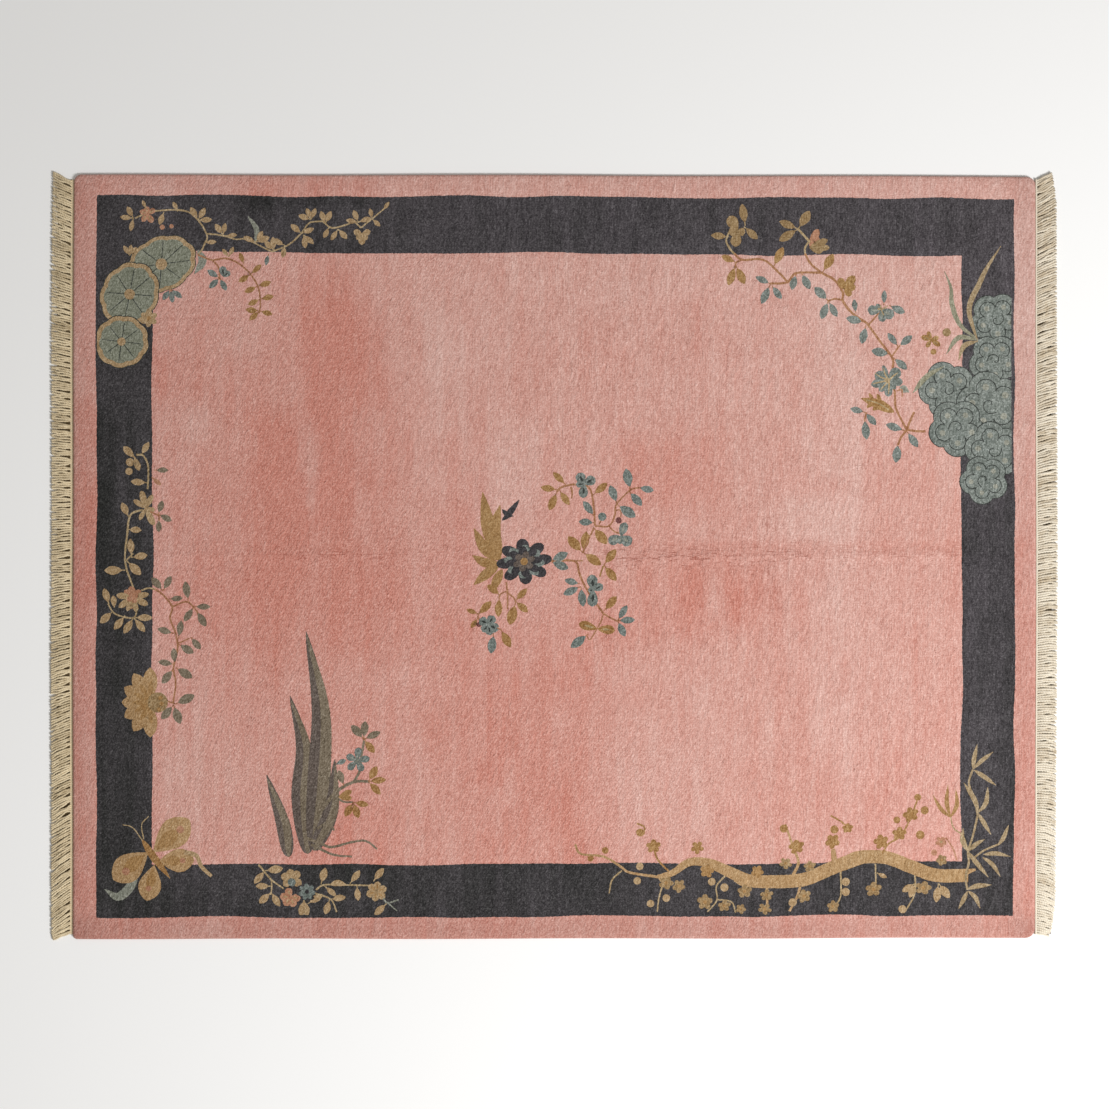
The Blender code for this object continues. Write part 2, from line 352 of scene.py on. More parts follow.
TOP_LEFT_VINE = (
    *stems(
        "straw",
        (0.55, 0.5, (-133, 107), (-127, 109.2), (-116, 109), (-110.3, 102.2), (-111, 98.5)),
        (0.5, 0.45, (-111, 98.8), (-111.6, 97.2), (-113, 95.5)),
    ),
    Spray("tan", "straw", -133.5, 107, 3.4, (178, 118, 262)),
    Bloom(
        "rust", "tan", -129, 108.4,
        ((160, 2.6, 1.8), (100, 2.4, 1.8), (30, 2.8, 1.8), (235, 3, 1.8), (300, 3.2, 2)),
    ),
    *sprays(
        "tan", "straw",
        (-129.5, 110, 2.4, 112), (-119.4, 109.2, 3, 118), (-123.8, 109, 3.4, 248),
        (-113, 106.4, 3.8, 122, 58, 5),
    ),
    Stem(
        "straw", 0.5, 0.45,
        ((-110.3, 102.2), (-105.5, 101.7), (-101, 100.5), (-97.5, 100.4), (-89.5, 96.6)),
    ),
    *sprays("tan", "straw", (-105, 101.8, 3.4, 126, 82), (-104.2, 101.6, 2.8, 8), (-110.9, 99.4, 3, 8)),
    Blade("mist", 1.7, ((-94.8, 99.4), (-94.4, 103.6), (-97.2, 107.8))),
    *sprays(
        "tan", "straw",
        (-94.6, 99.6, 3.6, 152, 56, 20), (-88.8, 97, 3.6, 136, 92), (-85.4, 98.6, 3.4, 152, 262),
    ),
    *stems(
        "straw",
        (0.5, 0.5, (-89.5, 96.6), (-84, 99), (-80, 102.8), (-77.6, 105.8), (-73.5, 106.3)),
        (0.5, 0.5, (-73.5, 106.3), (-70.5, 104.2), (-66, 105.2), (-63.5, 106), (-61.4, 104.2)),
        (0.5, 0.4, (-61.4, 104.2), (-57.4, 107.4), (-53.5, 110.6)),
    ),
    *sprays(
        "tan", "straw",
        (-80.2, 102.4, 3.6, 136, 26), (-79.6, 102, 3.6, 276, 320), (-77.2, 106.8, 3.4, 158, 108, 66),
        (-72.6, 105.6, 3.6, 112, 62), (-71.4, 104.4, 3.2, 246), (-68.6, 103.8, 3.4, 240, 312),
        (-62.2, 106, 3.4, 112, 172, 16),
    ),
    Bloom(
        "tan", "tan", -61, 102.2,
        ((160, 2.8, 2), (20, 2.8, 2), (270, 3.4, 2.2), (225, 2.4, 1.8), (315, 2.4, 1.8)),
    ),
    Spray("tan", "straw", -57.8, 107, 2.8, (98, 322)),
    Blade("tan", 1.3, ((-54, 110.2), (-52.4, 112.4))),
    *sprays("tan", "straw", (-103.2, 94.9, 2.8, 128, 66), (-134.6, 95.2, 3, 122, 84, 52)),
    *spots("rust", (-124.3, 104.2, 0.8), (-121.4, 104.5, 0.7)),
    *stems(
        "brown",
        (0.6, 0.55, (-113, 95.5), (-108.5, 93.9), (-104, 94.4), (-100, 92.8), (-96.7, 90.1)),
        (0.55, 0.5, (-96.7, 90.1), (-94, 85.9), (-93.1, 81), (-93.4, 77)),
    ),
    *sprays(
        "olive", "brown",
        (-98.4, 92.6, 3.4, 106), (-96.2, 89.4, 3.6, 38, 212), (-94, 85.6, 3.6, 16, 206),
        (-93.2, 81.6, 3.6, 10, 204), (-93.3, 77.8, 3.6, 344, 178, 226),
    ),
    Stem("brown", 0.5, 0.5, ((-108.5, 93.9), (-106.4, 91.5), (-106, 88))),
    Bloom("teal", "ink", -104.8, 88.6, ((96, 3.4, 2.4), (40, 2.6, 2))),
    *sprays("teal", "brown", (-106, 88.2, 3.8, 152, 222, 296), (-90.6, 96, 3, 262)),
)

LOTUS_POND = (
    Blade("mist", 2.6, ((-113, 97), (-111.5, 93.5), (-114, 89.5))),
    Pad(-124.5, 92.5, 11.5, 8.6, 25),
    Pad(-134.5, 83, 10.5, 9, 60),
    Pad(-137, 68, 8.2, 8.6, 105),
    Spray("teal", "brown", -121.6, 84.6, 3.6, (238, 282, 322)),
    Flower("tan", "gold", -128.4, 75.4, 3, 6, 15),
)

TOP_RIGHT_VINE = (
    Stem("straw", 0.6, 0.6, ((55.4, 103.2), (54.4, 100.4), (55.6, 97.8), (57, 96.2))),
    *stems(
        "brown",
        (0.75, 0.7, (57, 96.2), (59.5, 94.3), (66, 94.3), (70.5, 90.8), (73.9, 87.2)),
        (0.6, 0.5, (59.5, 94.3), (57.6, 93.4), (57.2, 91.4)),
    ),
    Bloom("fawn", "fawn", 57.9, 103.4, ((118, 5.4, 3.6), (262, 5, 3.4), (190, 2.8, 2.6), (350, 2.6, 2.6))),
    *sprays("fawn", "straw", (60.4, 105, 5.6, 97), (60, 104.8, 5.2, 322), (55.2, 101.6, 4.8, 179)),
    *sprays("olive", "brown", (57.6, 93.4, 4.4, 160), (57.4, 92.6, 5.8, 250, 298), (69.4, 92, 5.8, 65)),
    Stem("brown", 0.75, 0.7, ((68.4, 86.7), (73.7, 87.1), (76.7, 90), (84.6, 90.1))),
    *sprays(
        "teal", "brown",
        (68.6, 86.6, 4.6, 154), (68.4, 86.4, 5.6, 248), (68.8, 86.2, 4.4, 302), (76.6, 89.8, 4.6, 252),
        (78.2, 90.2, 5, 298),
    ),
    Bloom("rust", "rust", 80.8, 98.6, ((62, 6, 2.4), (40, 4, 2.2))),
    Bloom("fawn", "fawn", 80.8, 98.2, ((22, 6.2, 2.2), (358, 6.4, 2.2), (342, 4.4, 2.4))),
    Stem("straw", 0.7, 0.7, ((77, 104.2), (79, 102), (81, 99.8))),
    Spray("fawn", "straw", 77.2, 104, 5.6, (160, 54, 216)),
    Stem("straw", 0.6, 0.6, ((80.6, 100), (79.4, 98), (79.4, 96.2))),
    Stem("brown", 0.7, 0.7, ((79.4, 96.2), (81.2, 93), (84.6, 90.1))),
    Spray("olive", "brown", 85, 90.2, 5.8, (64,)),
    *stems(
        "brown",
        (0.8, 0.8, (84.6, 90.1), (88.8, 87.7), (91.3, 84), (91.5, 81), (94.6, 77.1), (99.1, 74)),
        (0.75, 0.75, (99.1, 74), (102.8, 68.9), (107, 63.1), (107.2, 60), (106.8, 57)),
    ),
    Bloom("olive", "olive", 91.8, 84.8, ((112, 4, 2.4), (52, 5.4, 2.8), (14, 3.8, 2.4), (320, 3, 2.2))),
    Stem("brown", 0.6, 0.5, ((91.4, 81.4), (89, 81.8), (86.8, 81.2))),
    *sprays(
        "teal", "brown",
        (86.8, 81.2, 5, 134, 244, 303), (95.6, 77.2, 3.8, 98), (98.2, 74.4, 5, 172), (98.8, 73.4, 4.8, 256),
    ),
    Stem("brown", 0.6, 0.5, ((99.6, 73.6), (101.2, 75.4), (103, 77.6))),
    Bloom(
        "teal", "mist", 103.4, 78.2,
        ((180, 4.2, 3.2), (282, 3.8, 2.6), (336, 4.6, 3.4), (124, 2.4, 1.5)),
    ),
    *stems(
        "straw",
        (0.7, 0.3, (102.4, 78.6), (104, 78.6), (105.6, 79.6)),
        (0.5, 0.3, (103.4, 79.8), (103.6, 78.4), (104.4, 76.6)),
    ),
    *sprays("teal", "brown", (104.4, 79.8, 4, 90), (106, 79.8, 4.8, 337)),
    Stem("brown", 0.6, 0.5, ((107, 63.7), (109.2, 66.8))),
    *sprays("teal", "brown", (109, 66.6, 4.8, 124, 38), (106.6, 64.2, 5, 170), (107.4, 63.2, 4.8, 316)),
    Stem("brown", 0.75, 0.7, ((106.8, 57), (107.8, 52), (108, 47.7), (109.6, 44), (111.6, 40.3))),
    Bloom("teal", "teal", 106, 55.9, ((112, 5.2, 1.6), (49, 5, 3.6), (352, 4.4, 2.8), (153, 5, 3.4))),
    Bloom("teal", "teal", 106, 55.9, ((194, 5.8, 2.8), (228, 4.6, 2.4), (267, 5.2, 2.6), (307, 3.4, 1.8))),
    *stems(
        "straw",
        (0.6, 0.25, (106, 55.9), (104.8, 57.8), (104.2, 59.9)),
        (0.6, 0.25, (106, 55.9), (103.4, 57), (101.6, 58.2)),
        (0.6, 0.25, (106, 55.9), (103.2, 55.4), (100.8, 54.8)),
        (0.6, 0.25, (106, 55.9), (104.4, 54.2), (103.2, 52.8)),
        (0.7, 0.3, (106, 55.9), (106, 53.6), (105.8, 51.6)),
        (0.6, 0.25, (106, 55.9), (107.4, 57.4), (108.8, 58.4)),
    ),
    Blade("olive", 3.2, ((107.6, 45.8), (103, 48.2), (97.2, 50.2))),
    *sprays("olive", "olive", (103.6, 48.4, 2.8, 110, 215), (101.2, 49.2, 2.6, 118, 220)),
    Stem("straw", 0.4, 0.4, ((106, 46.6), (102.6, 48.6), (98.8, 49.8))),
    Stem("brown", 0.5, 0.45, ((98.8, 45.8), (98.2, 43.2))),
    *sprays("teal", "brown", (98.4, 45.8, 4.2, 168, 312), (98.2, 44, 5.6, 279)),
    Petal("mist", 112.4, 52.2, 150, 3.4, 2.4),
    Stem("rust", 0.6, 0.5, ((108.4, 52.6), (110, 53), (110.2, 50.6))),
    *sprays("teal", "brown", (111, 40, 5.2, 164), (111.6, 39.8, 5.4, 302)),
    Stem("brown", 0.75, 0.65, ((111.6, 40.3), (109.6, 37.6), (108.8, 35.4))),
    Spray("teal", "brown", 108.8, 36.2, 5.2, (268,)),
    *stems(
        "brown",
        (0.8, 0.8, (111.6, 40.3), (114.4, 39.9), (117.5, 39.8)),
        (0.8, 0.7, (111.6, 40.3), (112.6, 43), (114, 46)),
    ),
    Bloom(
        "olive", "fawn", 119.4, 68.8,
        ((160, 3.4, 1.8), (112, 3, 1.6), (24, 2.6, 1.6), (328, 3.4, 1.8), (236, 2.8, 1.5)),
    ),
    Spot("fawn", 124.3, 71.3, 1.35),
    Spot("olive", 120.1, 65.1, 0.95),
)

CLOUD_BANK = (
    Cloud(140, 75.5, 8.4, 60),
    Cloud(139.5, 62.5, 8.2, 200),
    Cloud(124.5, 53, 9, 110),
    Cloud(138, 48.5, 10.5, 320),
    Cloud(127.5, 41, 9, 200),
    Cloud(139, 34, 9, 30),
    Cloud(136, 24.5, 7.6, 260),
)

RIGHT_GRASS = (
    Blade("sage", 1.6, ((134.4, 68.9), (128.6, 73.6), (126, 80), (125.6, 85.4), (123.6, 90.6))),
    Blade("flax", 1.7, ((134.2, 68.2), (131.4, 78.6), (134.6, 86.8), (137.2, 92.2), (141.4, 98.8))),
    Blade("sage", 1.6, ((134, 69), (128, 69.6), (124.2, 64.4))),
    Blade("flax", 1.6, ((134, 68.6), (129.8, 67), (128, 62.4))),
    Blade("sage", 1.7, ((113.6, 52), (117.9, 57.2), (123.6, 60.6))),
)

CENTRE = (
    *blades(
        "gold",
        (4.6, (-17, -1), (-20.5, 8), (-22.8, 20.5)), (4, (-17, 0), (-19, 8), (-17.2, 16.4)),
        (3.4, (-17.5, -1), (-22, 2.5), (-25.5, 9)), (3, (-17.5, -2), (-22, -1.8), (-26, 0.5)),
        (3.2, (-17.5, -2.5), (-21, -5), (-25.5, -8.8)), (3, (-16.5, -4), (-18.5, -8), (-19.5, -11)),
    ),
    *blades(
        "navy",
        (2, (-16.6, 11.5), (-14.5, 13.5), (-11.2, 18)), (1.6, (-16.6, 15), (-15, 13.4), (-13, 12.8)),
    ),
    *stems(
        "brown",
        (0.65, 0.6, (0.7, 20.5), (2.2, 22), (6.5, 22.9), (11, 21.8), (12.4, 16), (12.8, 9.8)),
        (0.6, 0.5, (12.8, 9.8), (17.2, 9.8), (19.1, 13.2), (19.6, 16.6), (24, 21.2), (26.9, 22)),
    ),
    *sprays(
        "olive", "brown",
        (3.6, 22.8, 4.4, 134), (1, 21.2, 4.6, 168), (0.8, 20.6, 5.2, 248), (1.4, 21.2, 4.6, 300),
    ),
    Stem("brown", 0.8, 0.4, ((5.2, 22.2), (5.6, 20.4), (5.4, 18.4))),
    Bloom("teal", "ink", 9.4, 23, ((118, 4, 3.2), (30, 4, 3.2), (264, 4.4, 3), (180, 2.6, 2.2))),
    Spray("olive", "brown", 12.2, 19.6, 4.8, (38,)),
    *sprays("teal", "brown", (12.6, 12.8, 4.8, 128), (12.8, 10.8, 4.2, 176)),
    Stem("brown", 0.5, 0.5, ((14, 10.2), (15, 12.4))),
    Spot("teal", 15.1, 12.7, 1.35),
    *sprays(
        "teal", "brown",
        (19.8, 16.8, 5.2, 109), (24, 21.2, 5.6, 98), (26.4, 22, 4.4, 354), (23.6, 20.8, 5, 312),
        (19.8, 16.6, 5.6, 326),
    ),
    Stem("brown", 0.4, 0.4, ((19.4, 14.8), (20.8, 14.8), (21, 13), (20.3, 12.2))),
    Spot("plum", 20.3, 11.6, 1),
    Stem("brown", 0.5, 0.5, ((17.2, 9.8), (19, 8), (21, 7.4))),
    Bloom("teal", "mist", 21, 6.6, ((72, 4.6, 2.8), (208, 4.4, 3.2), (322, 4.2, 3.6), (262, 2.6, 2.4))),
    *sprays("olive", "brown", (9, 1.2, 5.6, 130, 82), (9, 1.4, 5.8, 322), (12.2, 9.4, 5.4, 306)),
    *stems("brown", (0.6, 0.5, (9, 1.4), (10.6, 5.2), (12.6, 9.4)), (0.5, 0.5, (5.5, -1.4), (9, -1.2))),
    Spray("olive", "brown", 15.6, -2.6, 5.6, (48, 312)),
    Stem("olive", 0.6, 0.5, ((15.6, -2.8), (14.8, -4.6), (14.4, -6.4))),
    *stems(
        "brown",
        (0.75, 0.65, (-1, -1.5), (6.4, -1.4), (7.8, -5), (9.4, -8.8), (12.4, -13.6), (15.6, -18)),
        (0.6, 0.5, (15.6, -18), (18, -19.4), (20.4, -20.6)),
    ),
    Bloom("teal", "ink", 12.4, -10.6, ((98, 5, 3.4), (264, 5.2, 3.4), (30, 3.4, 2.6), (180, 1.8, 2))),
    *sprays("teal", "brown", (8.2, -8.6, 4.4, 170), (8.4, -9.4, 5.2, 206, 280)),
    Spray("olive", "brown", 15.6, -17.2, 5, (52,)),
    Spray("teal", "brown", 20, -20.2, 4.6, (60, 2, 298)),
    Stem("brown", 0.5, 0.4, ((15.6, -18), (14.8, -20.4), (13.6, -22.6), (11.4, -26.2), (10.4, -25.2))),
    Bloom("olive", "straw", 13.6, -22.8, ((164, 6, 2.9), (356, 5.6, 2.9))),
    Spray("teal", "brown", 10.8, -24.4, 5.6, (218,)),
    *stems(
        "brown",
        (0.6, 0.55, (-15.2, -8), (-14.8, -12), (-14.8, -16.5)),
        (0.5, 0.5, (-15, -11), (-16.8, -11.6), (-17.6, -13)),
        (0.5, 0.5, (-14.8, -11.4), (-12.8, -13), (-12.2, -14.6)),
    ),
    *sprays(
        "olive", "brown",
        (-17, -12.2, 4.6, 146), (-17.4, -12.6, 5.2, 264), (-12.4, -14, 4.6, 48, 318),
        (-12.2, -14.4, 6.2, 252),
    ),
    Stem("brown", 0.5, 0.4, ((-23.4, -20.8), (-24.2, -18.8), (-23.2, -17.4))),
    *sprays("olive", "brown", (-24.2, -18.4, 5.2, 42), (-24, -18, 3.4, 160), (-24.2, -19.4, 3.2, 232)),
    Spot("plum", -23.8, -21.4, 0.8),
    Bloom(
        "teal", "ink", -20.8, -21.4,
        ((150, 3.4, 3), (60, 3.2, 3), (232, 3, 2.8), (330, 3.6, 3.2), (280, 3.4, 2.8)),
    ),
    Spray("teal", "brown", -19.2, -24.2, 5.2, (266,)),
    Stem("brown", 0.5, 0.4, ((-18, -22.4), (-16.8, -23.2))),
    Spray("olive", "brown", -17, -22.8, 5.6, (300,)),
    Spray("teal", "brown", -1.4, -1.4, 5, (24, 336)),
    Flower("navy", "slate", -9.6, -1.5, 9.4, 8, 22),
    Flower("teal", "ink", -9.6, -1.5, 6.6, 8, 0),
    Flower("navy", "slate", -9.6, -1.5, 5.9, 8, 0),
    Flower("slate", "tan", -9.6, -1.5, 3.8, 6, 15),
    Spot("gold", -9.6, -1.5, 1.2),
)

LEFT_VINE = (
    Stem("straw", 0.6, 0.55, ((-132.4, 32.2), (-130.2, 32), (-128.6, 28.3), (-128.8, 21.4))),
    Petal("tan", -133, 31.4, 135, 4.8, 2.3),
    Petal("tan", -133, 31.6, 290, 4.6, 2),
    *spots("tan", (-134.4, 29.9, 1.3), (-134.7, 27, 1.15)),
    *sprays("tan", "straw", (-131, 32, 4.2, 62), (-128.8, 23.4, 4.4, 178)),
    Spray("moss", "brown", -126.6, 27.4, 3.6, (2,)),
    Spray("rust", "brown", -127.6, 25.2, 3.4, (318,)),
    Stem(
        "straw", 0.6, 0.55,
        ((-130.3, 14.9), (-134.2, 13.2), (-135.2, 7.3), (-135.8, -1.8), (-133.2, -9.8)),
    ),
    Bloom(
        "tan", "tan", -129.4, 15.4,
        ((104, 5.6, 2.1), (62, 4.8, 1.8), (146, 4.6, 1.7), (296, 6, 2.2), (346, 3, 1.6), (242, 4.2, 1.5)),
    ),
    *sprays("tan", "straw", (-134.8, 12.6, 4.2, 116), (-135.2, 8.7, 3.8, 0)),
    Stem("straw", 0.5, 0.4, ((-135.8, -1.6), (-134.2, 0.2), (-133.2, 1))),
    *sprays(
        "tan", "straw",
        (-133.8, 0, 5, 92), (-134, -0.2, 4.4, 8), (-135.2, -1.4, 5, 314), (-135.8, -4.2, 5.2, 178),
    ),
    Stem("brown", 0.5, 0.45, ((-128, 14.2), (-125.4, 13), (-125.2, 11))),
    *sprays("moss", "brown", (-125.4, 13.4, 3.8, 72, 330), (-125.2, 12, 3.6, 266)),
    Bloom(
        "rust", "rust", -133.4, -12.8,
        ((100, 3.6, 2.4), (40, 3.4, 2.2), (140, 3.4, 2.2), (260, 3.8, 2.4)),
    ),
    Bloom(
        "tan", "tan", -133.4, -12.8,
        ((172, 5.2, 2), (216, 5.4, 2), (248, 4.6, 1.7), (286, 4.8, 1.9), (334, 5.4, 2.1), (12, 5.2, 1.9)),
    ),
    Bloom("rust", "rust", -133.4, -12.8, ((120, 2, 1.8), (300, 2, 1.8), (210, 2, 1.8), (30, 2, 1.8))),
    Petal("tan", -139.2, -16, 96, 3.8, 1.9),
    Stem("straw", 0.55, 0.45, ((-131.9, -16.2), (-133.2, -19.3), (-138.9, -18), (-141.2, -14.8))),
    *sprays(
        "tan", "straw",
        (-140.8, -15.2, 4.4, 104), (-139.6, -17.2, 4.4, 224), (-135.8, -18.6, 4.4, 230),
        (-133, -19.2, 4.8, 234, 304, 4),
    ),
    Stem("straw", 0.55, 0.5, ((-130.6, -10.6), (-128.4, -9.9), (-126.4, -10.2))),
    *stems(
        "brown",
        (0.6, 0.6, (-126.4, -10.2), (-123.7, -12.1), (-120.9, -15.8), (-121.5, -19.4), (-119.7, -24.2)),
        (0.6, 0.55, (-119.7, -24.2), (-119.1, -29.1), (-120.4, -35.1), (-119.7, -40), (-120.6, -46.4)),
        (0.55, 0.5, (-120.9, -15.8), (-116.4, -14.2), (-113.6, -16.6), (-112.2, -19.3)),
    ),
    *sprays(
        "moss", "brown",
        (-123.8, -10.8, 4.4, 130, 62), (-122, -13.4, 3.8, 4), (-115.8, -14, 5, 95),
        (-114, -15.8, 4.4, 2, 232), (-113.2, -17, 4.8, 302), (-120.4, -24.2, 4.2, 166),
        (-118.8, -25.8, 4.8, 84),
    ),
    Stem("brown", 0.5, 0.4, ((-119.2, -27.4), (-117.2, -26.6), (-115.4, -25.8))),
    *sprays(
        "moss", "brown",
        (-115, -25.4, 4, 312), (-118.9, -27.6, 4.6, 330), (-120, -34, 4.2, 96, 168),
        (-120.4, -35.4, 4.8, 228), (-119.8, -35, 5.4, 332), (-120, -46.6, 5.6, 22),
        (-120.4, -46.8, 5, 230, 288),
    ),
    Stem("brown", 0.5, 0.5, ((-120, -46.4), (-122.4, -45.6), (-124.6, -44.8))),
)

LOTUS_PETALS = ((90, 11), (120, 10.5), (150, 9.4), (180, 9), (210, 9.4), (240, 10.5), (270, 11))
LOTUS_CORE = 0.62  # the length of a petal's core to the petal's
LEFT_LOTUS = (
    *(Petal("honey", -127.8, -46, turn, length, 4.6) for turn, length in LOTUS_PETALS),
    *(Petal("gold", -127.6, -46, turn, length * LOTUS_CORE, 1.6) for turn, length in LOTUS_PETALS),
    Spot("fawn", -125.4, -46, 3.2),
    *spots("olive", (-124.6, -44.6, 0.7), (-124.2, -46.4, 0.7), (-125.0, -48.2, 0.7)),
)

REEDS = (
    Reed(4.6, ((-84, -95), (-86, -84), (-91, -69))),
    Reed(6.4, ((-78, -94), (-80, -76), (-79.5, -60), (-83.5, -44))),
    Reed(7.4, ((-76, -93), (-74.5, -72), (-74, -48), (-78.5, -23.5))),
    Reed(5, ((-76, -93), (-70.6, -80), (-69.4, -64))),
    *stems(
        "moss",
        (1.2, 0.9, (-74, -80.5), (-68.9, -74.3), (-63.4, -71.2), (-58.5, -71)),
        (0.9, 0.7, (-63.4, -71.2), (-61.5, -67.5), (-60.8, -62), (-60, -57.5)),
    ),
    Star("teal", "mist", -62.4, -64.4, 4, 5, 10),
    Spray("moss", "brown", -60.2, -57.6, 5, (130, 82, 22)),
    Spray("olive", "brown", -60.2, -57.6, 4.6, (306,)),
    Spray("moss", "brown", -66.6, -72.4, 4.2, (112,)),
    Spray("olive", "brown", -58.8, -71, 4.4, (60, 6, 310)),
    Stem("moss", 0.7, 0.6, ((-70, -75.4), (-66.8, -77.4), (-63.6, -77.6))),
    Spray("olive", "brown", -63.6, -77.6, 4.2, (235, 285, 345)),
    Bloom("gold", "gold", -68.2, -76, ((-4, 4.2, 1.9), (26, 4.6, 1.9))),
    Petal("teal", -69, -65.6, 24, 3.4, 1.7),
    *stems(
        "moss",
        (1, 0.6, (-78.6, -89), (-74, -90.6), (-70.5, -91.8), (-63.4, -90.1), (-59.5, -89.9), (-56, -92.4)),
        (0.8, 0.6, (-75, -86), (-71.4, -84), (-69.6, -86.6)),
        (0.9, 0.6, (-77, -91), (-70, -94.2), (-64, -94.8)),
    ),
)

BUTTERFLY = (
    Blade("mist", 3, ((-132, -100), (-134, -104), (-138, -107.4), (-142.4, -105))),
    Petal("honey", -127, -93.4, 42, 15.5, 9.4),
    Petal("gold", -126, -92.6, 42, 9, 4.4),
    Petal("honey", -125.4, -96.2, 2, 11.5, 7.4),
    Petal("gold", -124.4, -96.2, 2, 6.4, 3.2),
    Petal("honey", -128.6, -93.4, 218, 14, 9),
    Petal("gold", -129.6, -94.2, 218, 8.2, 4.2),
    Petal("honey", -126.6, -97.4, 258, 11.5, 7.2),
    Petal("gold", -126.8, -98.4, 258, 6.4, 3),
    *spots("rust", (-118.4, -86.2, 1.2), (-117.6, -96, 0.9), (-135.6, -99.4, 1.2), (-128.4, -104.8, 0.9)),
    Blade("olive", 2.4, ((-130.6, -89.2), (-127, -94.6), (-121.6, -101.6))),
    *stems(
        "straw",
        (0.35, 0.28, (-130.4, -89.6), (-133.4, -85.6), (-136.6, -84.6)),
        (0.35, 0.28, (-130, -89.2), (-130.6, -84.6), (-128.4, -82)),
    ),
    Stem("tan", 1.6, 1, ((-117, -93.4), (-113.4, -94.4), (-111.6, -98), (-108.5, -101))),
)

BOTTOM_VINE = (
    *stems(
        "straw",
        (0.6, 0.5, (-93.6, -97.4), (-89.5, -102.2), (-85.6, -105)),
        (0.5, 0.45, (-89.5, -102.4), (-89.4, -105), (-89.8, -107)),
    ),
    *sprays(
        "tan", "straw",
        (-91.4, -99.2, 4.8, 230), (-91.6, -99.4, 4.6, 12), (-89.6, -104.2, 3.8, 176),
        (-89.6, -106.2, 4.4, 218, 298),
    ),
    Bloom(
        "tan", "tan", -83.1, -102.2,
        ((45, 3.6, 2.6), (100, 3.4, 2.6), (155, 3.6, 2.6), (215, 3.2, 2.4), (335, 3.4, 2.6)),
    ),
    Bloom(
        "rust", "tan", -83.4, -107.6,
        ((110, 3, 2.4), (180, 3.4, 2.6), (235, 3.4, 2.6), (290, 3.4, 2.6), (350, 3.2, 2.4)),
    ),
    Spot("teal", -83.1, -103, 1.3),
    *sprays("tan", "straw", (-79.2, -108.4, 4.6, 258, 282), (-78, -109.8, 4.6, 28)),
    Flower("navy", "ink", -78.2, -106, 3.4, 7, 0),
    Flower("teal", "navy", -78.2, -106, 2.8, 7, 0),
    Stem("straw", 0.55, 0.5, ((-75.4, -105.4), (-72.7, -103.8), (-66.9, -103.8), (-58.6, -103.9))),
    Spray("tan", "straw", -73.8, -103.6, 4.2, (76,)),
    Blade("tan", 2, ((-70.8, -103.7), (-68.4, -103.2), (-65.8, -103.8))),
    *sprays("tan", "straw", (-72.6, -104.2, 4, 318), (-64.6, -103.4, 4.6, 54), (-62.4, -104, 4, 278)),
    Stem("straw", 0.55, 0.45, ((-75.6, -106.5), (-70.7, -108.4), (-68.8, -112.4))),
    Spray("tan", "straw", -71, -108.4, 4.2, (6, 254)),
    Bloom(
        "tan", "gold", -56.2, -105.8,
       
        ((80, 3.2, 2.2), (20, 3.4, 2.4), (140, 3.2, 2.2), (200, 3.4, 2.4), (260, 3.2, 2.2), (320, 3.4, 2.4)),
    ),
    Spray("tan", "straw", -57.2, -102.6, 4.4, (52,)),
    *stems(
        "mist",
        (0.5, 0.45, (-54, -108), (-52.6, -109.4), (-49.2, -108.4)),
        (0.45, 0.4, (-52.6, -109.4), (-49.6, -112)),
    ),
    Spray("tan", "straw", -53, -109.6, 4.4, (222,)),
)

